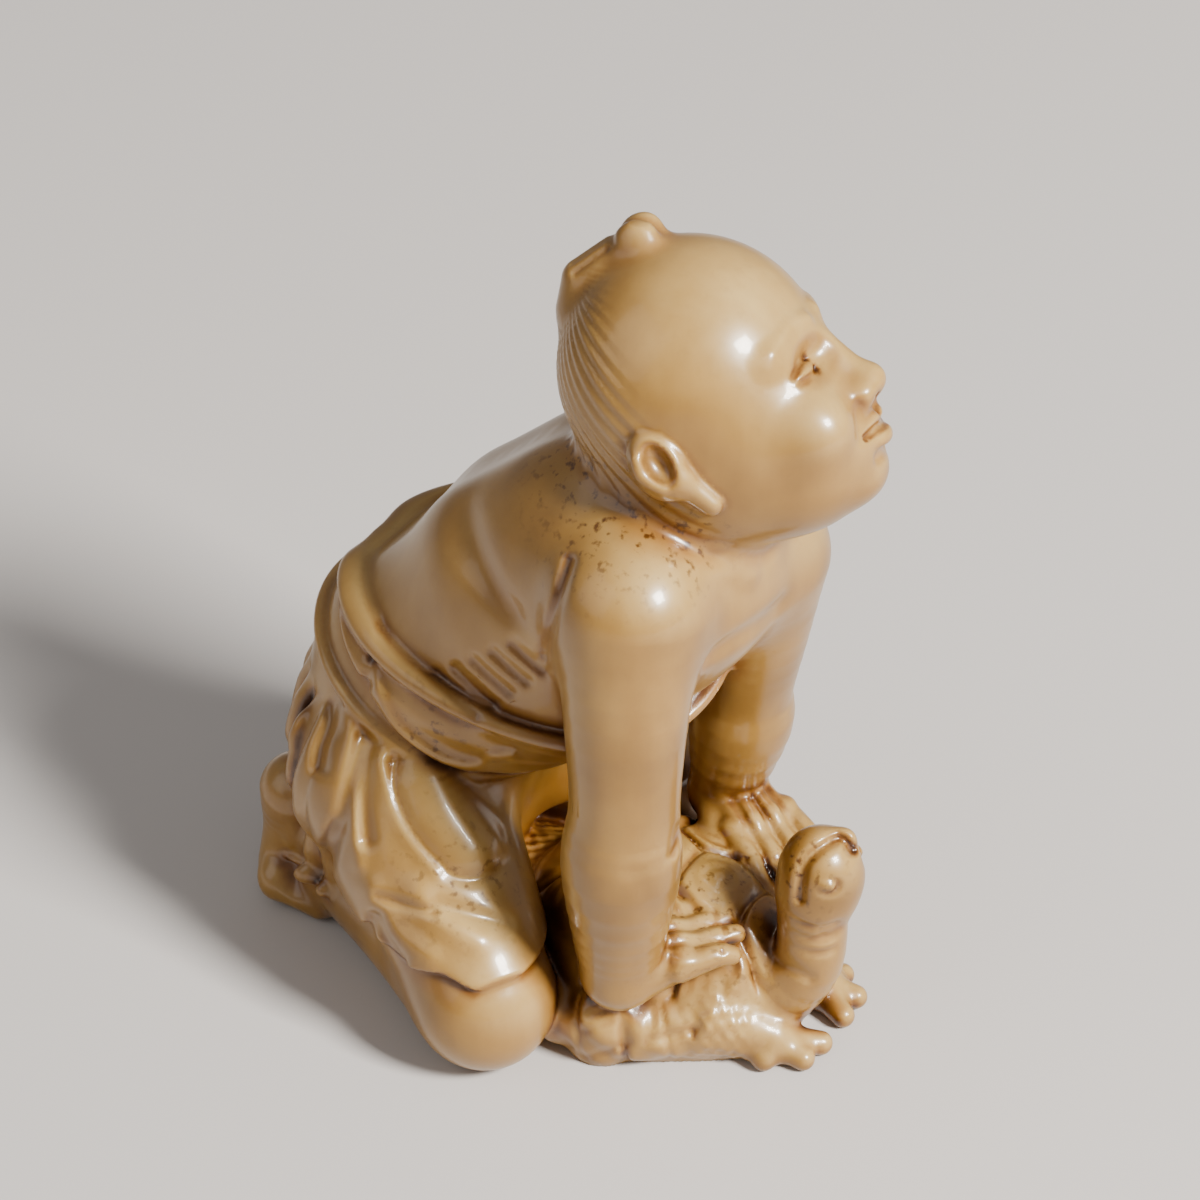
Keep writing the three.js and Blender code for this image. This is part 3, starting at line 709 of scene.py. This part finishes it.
# %% Shell
SHELL_RIM = [[3.2, -5.6], [6.6, -5.0], [8.8, -2.9], [9.9, 0], [8.8, 2.9], [6.6, 5.1], [3.2, 5.6], [0, 5]]
RIM_UP, RIM_THICK = 1.7, 1.7  # height of the shell's edge over the ground, and half its thickness
SHELL_CORNER = [[5.2, -5.3, 0.9, 1.75], [5.5, -5.5, 2.2, 1.75]]  # under the right hand
RING = 0.62  # mm from one growth ring to the next
PLATES = [[x, 0] for x in (1.4, 4.8, 8.2, 11.2)] + [[x, y] for x in (3.1, 6.5, 9.9) for y in (-3.6, 3.6)]
EDGE_PLATES = 22


def plates(p):
    """The seams between the plates of the shell, and the rings in which each plate has grown."""
    gaps = np.sqrt([(p.x - x) ** 2 + (p.y - y) ** 2 for x, y in PLATES])
    nearest = np.partition(gaps, 1, axis=0)
    seams = 0.28 * np.exp(-(((nearest[1] - nearest[0]) / 0.4) ** 2))
    rings = 0.02 * np.cos(nearest[0] * (2 * math.pi / RING) + 0.8 * p.x)
    return (seams + rings) * step(3.0, 3.8, p.z)


def edge_plates(p):
    """The small plates round the edge, with their own rings."""
    turn = np.arctan2(p.y, p.x - 4.2) * (EDGE_PLATES / 2)
    seams = 0.1 * np.exp(-((np.sin(turn + 0.2 * p.z) / 0.25) ** 2))
    return (seams + 0.05 * np.cos(2 * turn + 3.1 * p.z)) * step(4.2, 3.6, p.z) * step(0.2, 0.7, p.z)


print(len(PLATES), "plates on the back and", EDGE_PLATES, "round the edge")

# %% Skin
SCALE = 0.85  # mm across
TURTLE_LINES = [  # mouth, wrinkles of the neck's foot, and folds of the skin under the shell
    (
        [[13.2, -1.9, 9.5], [13.1, -1.6, 10.5], [13.2, -1.1, 11.3], [13.9, 0.3, 11.6], [14.4, 0.5, 11.0]],
        0.32, 0.24,
    ),
    ([[14.3, -1.5, 7.6], [14.6, -0.9, 7.7]], 0.18, 0.33),
    ([[12.3, -1.9, 5.4], [13.1, -2.0, 5.3], [13.7, -1.7, 4.9]], 0.21, 0.29),
    ([[10.6, -2.9, 3.9], [11.4, -3.2, 6.0]], -0.21, 0.33),
    ([[5.4, -6.9, 3.0], [6.6, -7.2, 4.0]], 0.15, 0.26),
    ([[7.3, -7.0, 4.1], [7.0, -6.4, 1.2]], 0.18, 0.26),
    ([[5.3, -7.0, 2.2], [6.6, -7.0, 3.3]], 0.12, 0.23),
    ([[5.4, -6.9, 0.6], [7.2, -6.5, 1.9]], 0.12, 0.23),
    ([[8.3, -6.0, 4.2], [8.0, -6.0, 2.3]], 0.15, 0.23),
    ([[9.9, -5.0, 5.0], [9.5, -4.7, 2.0]], 0.15, 0.26),
    ([[7.9, -6.0, 1.9], [9.5, -4.8, 2.4]], 0.15, 0.23),
]


def scales(p):
    """Small round scales on the skin behind the front legs."""
    size = 2 * math.pi / SCALE
    patch = step(12.2, 11.0, p.x) * step(5.6, 4.4, p.z)
    return -0.07 * np.cos(size * p.x) * np.cos(size * p.y) * np.cos(size * 0.8 * p.z) * patch


# %% Turtle's head
def turtle_head():
    """A blunt head on a stretched neck, with a beak, round eyes and a nub over the nostrils."""
    neck = limbs(bent([[10.8, -0.2, 2.0, 2.2], [12.7, -0.1, 4.4, 1.6], [12.9, -0.1, 8.0, 1.6]]))
    nub = limb([13.6, 0.6, 10.6, 0.6], [13.95, 0.8, 11.3, 0.35])
    mass = joined(0.8, [neck, egg([13.15, 0.1, 9.4], [1.95, 1.9, 2.4]), nub])
    eyes = [egg([13.95, y, 10.2], [0.55, 0.4, 0.35]) for y in (-1.15, 1.35)]
    lids = [egg([14.7, y, 10.2], [0.8, 0.8, 0.5]) for y in (-1.7, 1.9)]
    folds = grooves([
        ([[11.2, -1.6, z + 0.4], [12.8, -1.9, z], [14.3, -0.8, z - 0.2]], 0.14, 0.25)
        for z in (6.3, 7.1, 8.0)
    ])

    def form(p):
        d = mass(p) + folds(p)
        for lid, eye in zip(lids, eyes):
            d = join(cut(d, lid(p), 0.3), eye(p), 0.15)
        return d

    return form


# %% Turtle
RIGHT_TOES = [[12.2, -3.1], [13.7, -2.2], [13.9, -0.9]]
LEFT_TOES = [[12.6, 3.6], [13.8, 2.6], [13.9, 1.2]]


def turtle():
    """Shell, belly, head and front legs. The hind legs are hidden under the man."""
    dome = joined(1.6, [egg([4.4, 0, 1.2], [6.2, 6.3, 6.4]), egg([8.0, 0, 1.6], [4.4, 4.2, 5.4])])
    edge = [[x, y, RIM_UP, RIM_THICK] for x, y in SHELL_RIM]
    rim = joined(0.3, [limbs(bent(edge)), limb(*SHELL_CORNER)])
    forms = [egg([-1.5, 0, 1.5], [5.5, 4.8, 2.8]), turtle_head()]
    for side, toes in ((-1, RIGHT_TOES), (1, LEFT_TOES)):
        paw = [11.9, side * 2.1, 1.1, 1.2]
        forms.append(limb([9.4, side * 2.9, 1.9, 2.0], paw))
        forms += [limb([*paw[:2], 0.9, 0.75], [x, y, 0.55, 0.55]) for x, y in toes]
    soft = joined(0.5, forms)
    lines = engraved(TURTLE_LINES)

    def form(p):
        shell = join(dome(p) + plates(p), rim(p) + edge_plates(p), 0.3)
        skin = soft(p)
        skin = skin + scales(p) if np.ndim(skin) else skin
        return join(shell, skin, 0.5) + lines(p)

    return within([4.5, 0, 4], 15, form)


# %% [markdown]
# ## The whole carving
# The parts melt into each other over a third of a millimetre, which is about as sharp an inner corner as
# a graver and long polishing leave. Only the bare body's own parts melt more. The ground cuts all flat.

# %% The whole carving
def carving():
    """Everything in one form."""
    body = trunk()
    arms = [limbs(bent(RIGHT_ARM)), limbs(bent(LEFT_ARM))]
    skull = placed(head(), HEAD["at"], HEAD["turn"])

    def figure(p):
        return join(join(body(p), np.minimum(arms[0](p), arms[1](p)), 1.4), skull(p), 0.9)

    parts = joined(0.35, [
        figure,
        hand(**RIGHT_HAND),
        hand(**LEFT_HAND),
        leg(),
        flipped(leg()),
        skirt(body),
        sash(body),
        limbs(bent(FLAP)),
        turtle(),
    ])
    lines = engraved(ARM_LINES)
    return lambda p: np.maximum(parts(p) + lines(p), -p.z)


# %% [markdown]
# ## From the form to a mesh
# The form is measured on a fine grid, but only near its surface. In each grid cell that the surface
# crosses, one point is put at the middle of the crossings, and four neighbouring points make a face.
# Then each point is moved along the form's slope until its distance is nought. Blender's own Voxel
# Remesh does a like thing, but it needs a mesh to start from.

# %% Measuring
MIDDLE = np.array([0.375, 0, 0], np.float32)  # mm: the frame's origin in the forms' own numbers
BATCH = 4.0  # mm: the side of the box that holds a batch
BOXES = 100  # more than lie side by side in any direction


def measured(form, places):
    """The form's distance at many places, in batches of near ones."""
    boxes = np.floor(places / BATCH).astype(np.int64) + BOXES // 2
    keys = (boxes[0] * BOXES + boxes[1]) * BOXES + boxes[2]
    order = np.argsort(keys, kind="stable")
    groups = np.split(order, np.flatnonzero(np.diff(keys[order])) + 1)
    found = np.empty(places.shape[1], np.float32)
    for group in groups:
        found[group] = form(Places(places[:, group]))
    return found


# %% [markdown]
# The fine grid has some tens of millions of places, and most of them lie far from the surface. So the
# form is first asked once for each block of cells, and a block is measured in full only where the
# surface may pass through it.

# %% Sampling
BLOCK = 8  # cells
CELL = 0.14  # mm
NEAR = 1.3  # sides of a block: a block whose middle is further from the surface holds none of it


def sampled(form, low, high, cell):
    """The form's distances on a grid. Blocks that the surface doesn't pass through only get a sign."""
    blocks = np.ceil((high - low) / (cell * BLOCK)).astype(int)
    first = np.indices(blocks).reshape(3, -1)
    middles = low[:, None] + (first + 0.5) * cell * BLOCK
    rough = measured(form, middles.astype(np.float32))
    grid = np.sign(rough).reshape(blocks)
    for axis in range(3):
        grid = np.repeat(grid, BLOCK, axis)
    near = first[:, np.abs(rough) < cell * BLOCK * NEAR] * BLOCK
    inner = np.indices((BLOCK,) * 3).reshape(3, -1)
    cells = (near[:, :, None] + inner[:, None, :]).reshape(3, -1)
    places = (low[:, None] + cells * cell).astype(np.float32)
    grid[tuple(cells)] = measured(form, places)
    print(f"grid {grid.shape}, {cells.shape[1]} places measured near the surface")
    return grid


# %% [markdown]
# Where the sign changes between two neighbours on the grid, the surface crosses the edge between them.
# Four cells share this edge, and their points make one face. Each cell's point is the mean of all the
# crossings on its own edges, which is why this is called a surface net.

# %% Skinning
def skinned(grid, low, cell):
    """Points and four-sided faces where the grid's distances change sign."""
    inside = grid < 0
    size = np.array(grid.shape)
    axes = np.eye(3, dtype=int)
    crossings, owners, rings = [], [], []
    for axis, to in enumerate(axes):
        here = inside[tuple(slice(0, n - t) for n, t in zip(size, to))]
        there = inside[tuple(slice(t, n) for n, t in zip(size, to))]
        at = np.array(np.nonzero(here != there))
        a, b = grid[tuple(at)], grid[tuple(at + to[:, None])]
        crossing = low[:, None] + (at + to[:, None] * (a / (a - b))) * cell
        u, v = axes[(axis + 1) % 3], axes[(axis + 2) % 3]
        shifts = (0 * u, u, u + v, v)
        ring = np.array([np.ravel_multi_index(tuple(at - shift[:, None]), size) for shift in shifts])
        ring[:, a > 0] = ring[::-1, a > 0]
        crossings += [crossing] * 4
        owners += list(ring)
        rings.append(ring.T)
    names, index = np.unique(np.concatenate(owners), return_inverse=True)
    counts = np.bincount(index)
    crossings = np.concatenate(crossings, axis=1)
    points = np.array([np.bincount(index, weights=row) / counts for row in crossings], np.float32)
    return points, np.searchsorted(names, np.concatenate(rings))


# %% [markdown]
# The means lie a little off the true surface and blur the finest cuts. The form itself tells how far off
# each point is, and its slope tells which way to go.

# %% Settling
CORNERS = np.array([[1, -1, -1], [-1, -1, 1], [-1, 1, -1], [1, 1, 1]], np.float32)  # of a pyramid
LEAST_STEEP = 0.3  # keeps a flat spot of the form from throwing a point far away


def slope(form, points, h=0.03):
    """Which way the form's distance grows, and how large it is, from four places h mm off each point."""
    places = points[:, None, :] + h * CORNERS.T[:, :, None]
    found = measured(form, places.reshape(3, -1)).reshape(4, -1)
    return CORNERS.T @ found / (4 * h), found.mean(0)


def settled(form, points, rounds=2):
    """The points moved onto the surface along the form's slope."""
    for _ in range(rounds):
        way, off = slope(form, points)
        steep = np.maximum(dot(way, way), LEAST_STEEP)
        points = points - way * np.clip(off / steep, -CELL, CELL)
    return points


# %% [markdown]
# ## One closed mesh
# Parts of the form that don't hang together would be loose pieces, so only the largest skin is kept.
# Decimate then takes triangles from the smooth places and leaves them where the carving is fine.

# %% Largest skin
def largest(points, faces):
    """The largest skin alone."""
    leader = np.arange(points.shape[1])
    while True:
        lowest = leader[faces].min(1)
        new = leader.copy()
        for k in range(4):
            np.minimum.at(new, faces[:, k], lowest)
        new = new[new]
        if (new == leader).all():
            break
        leader = new
    main = np.bincount(leader[faces[:, 0]]).argmax()
    faces = faces[leader[faces[:, 0]] == main]
    used, faces = np.unique(faces, return_inverse=True)
    return points[:, used], faces.reshape(-1, 4)


# %% From points to a piece
def solid(name, points, faces):
    """A Blender object from points in mm and four-sided faces."""
    mesh = bpy.data.meshes.new(name)
    mesh.vertices.add(points.shape[1])
    mesh.vertices.foreach_set("co", ((points - MIDDLE[:, None]) / 1000).T.ravel())
    mesh.loops.add(faces.size)
    mesh.loops.foreach_set("vertex_index", faces.ravel().astype(np.int32))
    mesh.polygons.add(len(faces))
    mesh.polygons.foreach_set("loop_start", np.arange(0, faces.size, 4, dtype=np.int32))
    mesh.update(calc_edges=True)
    piece = bpy.data.objects.new(name, mesh)
    bpy.context.scene.collection.objects.link(piece)
    return piece


def finished(piece):
    """The piece's mesh with its modifiers applied."""
    bpy.context.view_layer.update()
    graph = bpy.context.evaluated_depsgraph_get()
    mesh = bpy.data.meshes.new_from_object(piece.evaluated_get(graph))
    piece.modifiers.clear()
    piece.data = mesh
    return piece


# %% Skin of the carving
MARGIN = 1.2  # mm of room round the CAD box
GROUND = 0.05  # mm: what lies this near the ground lies on it

form = carving()
box_low, box_high = (np.array(corner) * 1000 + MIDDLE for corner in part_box("carved_figure"))
room_low, room_high = box_low - MARGIN, box_high + MARGIN
room_low[2] = -0.5 * CELL
points, faces = skinned(sampled(form, room_low, room_high, CELL), room_low, CELL)
points, faces = largest(points, faces)
print(points.shape[1], "points and", len(faces), "faces in the largest skin")
points = settled(form, points.astype(np.float32))
points[2, np.abs(points[2]) < GROUND] = 0
points = np.clip(points, column([*box_low[:2], room_low[2]]), column(box_high))

# %% Netsuke
MOST_TRIANGLES = 190000  # each four-sided face counts as two

netsuke = solid("netsuke", points, faces)
share = MOST_TRIANGLES / (2 * len(faces))
if share < 1:
    thin = netsuke.modifiers.new("thin", "DECIMATE")
    thin.ratio = share
    finished(netsuke)
print(len(netsuke.data.polygons), "faces after thinning")

# %% [markdown]
# ## Marks of age and painted shade on the mesh
# Dirt and old wax stay in the cuts, and hands rub the high places pale. How deep a place lies is asked
# from the form itself: a step straight out from the surface should take it just as far away, and in a
# hollow the distance grows less. The answers are kept on the mesh as attributes, for the material. The
# finest step marks dirt in the cuts, while the two longer steps darken broad hollows and the gaps
# between parts, and that darkening is painted shade. The pale side that faces up and forward, in the
# next cell, is partly painted light.

# %% Depth attributes
def keep(mesh, name, values):
    """One number for each point of the mesh, under a name that a material can read."""
    attribute = mesh.attributes.new(name, "FLOAT", "POINT")
    attribute.data.foreach_set("value", values.astype(np.float32))


def places_of(mesh):
    """The mesh's points in the forms' own numbers."""
    flat = np.empty(len(mesh.vertices) * 3, np.float32)
    mesh.vertices.foreach_get("co", flat)
    return flat.reshape(-1, 3).T * 1000 + MIDDLE[:, None]


# the shortest step marks dirt in the fine cuts; the two longer steps mark painted shade in broad hollows and
# between parts
STEPS_OUT = (("crease", 0.3), ("hollow", 1.0), ("cave_shade", 2.8))  # mm

mesh = netsuke.data
mesh.shade_smooth()
spots = places_of(mesh)
ways, _ = slope(form, spots, 0.05)
ways = ways / np.maximum(length(ways), 1e-6)
outward = np.array([out for _, out in STEPS_OUT], np.float32)
tried = spots[:, None, :] + ways[:, None, :] * outward[None, :, None]
depths = measured(form, tried.reshape(3, -1)).reshape(len(outward), -1) / outward[:, None]
for (name, _), depth in zip(STEPS_OUT, 1 - np.clip(depths, 0, 1)):
    keep(mesh, name, depth)
    print(name, "on average", round(float(depth.mean()), 3))

# %% [markdown]
# A netsuke is worn with its back to the body and its front to the hand. So what faces up and forward is
# worn pale, and as the lamp lights that same side, this paler colour is partly painted light. Dark
# specks stay thick in a few spots where no finger reaches, such as the nape, and are thin elsewhere.
# They are given as balls with a soft edge.

# %% Wear, painted light and dirt
# the way a surface must face to turn pale: partly wear, partly painted light, as it lies close to the window
# lamp's way
WORN_AND_LIT_WAY = np.array([0.55, -0.15, 0.82], np.float32)
PALE_START, PALE_FULL = 0.45, 1.15  # how far a surface has to face that way
UNTOUCHED = [  # the middle of each spot, and how far it reaches
    [2.5, -2.0, 29.5, 2.6],  # nape
    [5.5, -5.0, 28.0, 2.6],  # shoulder
    [8.0, -3.6, 28.4, 2.0],  # throat
    [-3.0, -5.6, 15.5, 2.4],  # sash
    [0.6, -1.8, 38.0, 1.6],  # beside the knot of hair
    [8.0, -1.5, 6.0, 4.0],  # shell
    [12.6, -1.0, 10.5, 2.0],  # turtle's head
    [-1.0, -7.5, 8.5, 2.5],  # thigh
]
CLEANEST = 0.06  # share of the specks that is left everywhere

keep(mesh, "rubbed_and_lit", step(PALE_START, PALE_FULL, dot(WORN_AND_LIT_WAY, ways)))
grime = np.zeros(spots.shape[1])
for *middle, reach in UNTOUCHED:
    away = spots - column(middle)
    grime += np.exp(-dot(away, away) / reach**2)
keep(mesh, "grime", np.clip(grime, CLEANEST, 1))
print("points with thick grime:", int((grime > 0.5).sum()))

# %% [markdown]
# ## Old ivory
# Ivory lets light in a little way, and its polish is a soft, bright gloss. With age it turns honey
# yellow, most where hands don't rub it, and brown in the cuts. An image could carry all this, but it
# would have to be unwrapped on a shape full of holes and undercuts. So the colours come from solid noise
# in the piece's own space and from the attributes. The paler side that faces up and forward is partly
# painted light, and the darkening of broad hollows and gaps between parts is painted shade.

# %% Node helpers
WHITE = (1, 1, 1)


class Recipe:
    """A material's node tree, with a short word for each kind of node that is used."""

    def __init__(self, name):
        self.material = bpy.data.materials.new(name)
        self.material.use_nodes = True
        self.nodes, self.links = self.material.node_tree.nodes, self.material.node_tree.links
        self.shader = self.nodes["Principled BSDF"]
        self.place = self.nodes.new("ShaderNodeTexCoord").outputs["Object"]

    def ramp(self, source, stops):
        """Colours for the source's numbers, from stops of a number and a colour each."""
        node = self.nodes.new("ShaderNodeValToRGB")
        first, last = node.color_ramp.elements
        first.position, first.color = stops[0][0], (*stops[0][1], 1)
        last.position, last.color = stops[-1][0], (*stops[-1][1], 1)
        for where, colour in stops[1:-1]:
            node.color_ramp.elements.new(where).color = (*colour, 1)
        self.links.new(source, node.inputs[0])
        return node.outputs[0]

    def read(self, name):
        """An attribute of the mesh."""
        node = self.nodes.new("ShaderNodeAttribute")
        node.attribute_name = name
        return node.outputs["Fac"]

    def mixed(self, kind, share, a, b):
        """Two colours, mixed or multiplied. The share may be a number or come from another node."""
        node = self.nodes.new("ShaderNodeMix")
        node.data_type, node.blend_type = "RGBA", kind
        for socket, value in (("Factor_Float", share), ("A_Color", a), ("B_Color", b)):
            target = next(s for s in node.inputs if s.identifier == socket)
            if isinstance(value, bpy.types.NodeSocket):
                self.links.new(value, target)
            else:
                target.default_value = value
        return next(s for s in node.outputs if s.identifier == "Result_Color")

    def noise(self, scale, detail, stretch=(1, 1, 1)):
        """Solid noise in the piece's own space, with about scale blots to the metre."""
        around = self.nodes.new("ShaderNodeMapping")
        around.inputs["Scale"].default_value = stretch
        self.links.new(self.place, around.inputs["Vector"])
        node = self.nodes.new("ShaderNodeTexNoise")
        node.inputs["Scale"].default_value = scale
        node.inputs["Detail"].default_value = detail
        self.links.new(around.outputs["Vector"], node.inputs["Vector"])
        return node.outputs["Fac"]


# %% Ivory
HONEY = [(0.32, (0.2, 0.098, 0.016)), (0.5, (0.28, 0.145, 0.028)), (0.68, (0.35, 0.195, 0.046))]
PALE = [(0.3, (0.41, 0.255, 0.075)), (0.7, (0.54, 0.375, 0.15))]
GRAIN = [(0.35, (0.93, 0.91, 0.86)), (0.65, WHITE)]
DIRT = [(0.56, WHITE), (0.68, (0.28, 0.18, 0.1))]
# the finest depth darkens the cuts with dirt; the two broader depths are painted shade in hollows and
# between parts
DEPTH_DIRT_AND_SHADE = {  # how each depth attribute darkens the colour
    "hollow": [(0.12, WHITE), (0.5, (0.86, 0.75, 0.6)), (0.95, (0.36, 0.25, 0.15))],
    "crease": [(0.12, WHITE), (0.5, (0.6, 0.45, 0.3)), (0.9, (0.28, 0.18, 0.1))],
    "cave_shade": [(0.35, WHITE), (0.8, (0.8, 0.7, 0.58))],
}
POLISH = {  # the shader's own sockets, with the depth that light reaches in metres
    "Roughness": 0.3,
    "Subsurface Weight": 0.25,
    "Subsurface Radius": (1.0, 0.75, 0.35),
    "Subsurface Scale": 0.0015,
    "Coat Weight": 0.3,
    "Coat Roughness": 0.07,
}


def ivory():
    """Honey and pale ivory, partly lit by painted light, darkened by dirt in the cuts and painted shade in
    hollows, with a fine grain and dark specks.
    """
    recipe = Recipe("old ivory")
    honey, pale = recipe.ramp(recipe.noise(150, 6), HONEY), recipe.ramp(recipe.noise(220, 6), PALE)
    # paler where the surface faces up and forward: partly wear, partly painted light from the window lamp
    colour = recipe.mixed("MIX", recipe.read("rubbed_and_lit"), honey, pale)
    # darker by depth: dirt in the cuts, painted shade in broader hollows and between parts
    for name, stops in DEPTH_DIRT_AND_SHADE.items():
        colour = recipe.mixed("MULTIPLY", 1.0, colour, recipe.ramp(recipe.read(name), stops))
    grain = recipe.ramp(recipe.noise(900, 3, (1, 1, 0.12)), GRAIN)  # drawn out upwards, as in a tusk
    colour = recipe.mixed("MULTIPLY", 1.0, colour, grain)
    specks = recipe.ramp(recipe.noise(2400, 4), DIRT)
    colour = recipe.mixed("MULTIPLY", recipe.read("grime"), colour, specks)
    recipe.links.new(colour, recipe.shader.inputs["Base Color"])
    for name, value in POLISH.items():
        recipe.shader.inputs[name].default_value = value
    return recipe.material


netsuke.data.materials.clear()
netsuke.data.materials.append(ivory())
print("ivory made of", len(netsuke.data.materials[0].node_tree.nodes), "nodes")

# %% [markdown]
# ## The table
# A small glossy piece shows best on a pale, dull table with nothing else on it.

# %% Table
TABLE = 2.0  # metres from the middle to each side
TABLE_COLOUR = (0.56, 0.53, 0.51)


def floor():
    """The table top, which is stage and not part of the piece."""
    mesh = bpy.data.meshes.new("floor")
    corners = [(-TABLE, -TABLE, 0), (TABLE, -TABLE, 0), (TABLE, TABLE, 0), (-TABLE, TABLE, 0)]
    mesh.from_pydata(corners, [], [(0, 1, 2, 3)])
    paint = bpy.data.materials.new("floor paint")
    paint.use_nodes = True
    shader = paint.node_tree.nodes["Principled BSDF"]
    shader.inputs["Base Color"].default_value = (*TABLE_COLOUR, 1)
    shader.inputs["Roughness"].default_value = 0.8
    mesh.materials.append(paint)
    made = bpy.data.objects.new("floor", mesh)
    bpy.context.scene.collection.objects.link(made)


floor()
print("table, in metres:", 2 * TABLE)

# %% [markdown]
# ## The light
# One small, bright lamp in front and above works as a window. Its slanting light shows the carving, and
# its mirror image shows the polish. A large, weak lamp from the other side and a pale
# world keep the shadows open.

# %% Lamps
LIT = Vector((0, 0, 0.02))  # what the lamps point at


def lamp(name, place, size, power, colour=WHITE):
    """A square lamp. Its place and size are in metres and its power in watts."""
    light = bpy.data.lights.new(name, "AREA")
    light.size, light.energy, light.color = size, power, colour
    made = bpy.data.objects.new(name, light)
    made.location = Vector(place)
    made.rotation_euler = (LIT - made.location).to_track_quat("-Z", "Y").to_euler()
    bpy.context.scene.collection.objects.link(made)


lamp("window", (0.33, -0.04, 0.29), 0.1, 5.4, (1, 0.97, 0.92))
lamp("fill", (-0.3, -0.4, 0.35), 0.5, 0.8)
world = bpy.data.worlds.new("studio")
world.use_nodes = True
glow = world.node_tree.nodes["Background"]
glow.inputs["Color"].default_value = (1.0, 0.97, 0.95, 1)
glow.inputs["Strength"].default_value = 0.3
bpy.context.scene.world = world
print("lamps:", [light.name for light in bpy.data.lights])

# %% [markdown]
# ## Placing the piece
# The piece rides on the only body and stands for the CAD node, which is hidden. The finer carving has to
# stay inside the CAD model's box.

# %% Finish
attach(netsuke, "root")
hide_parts("carved_figure")
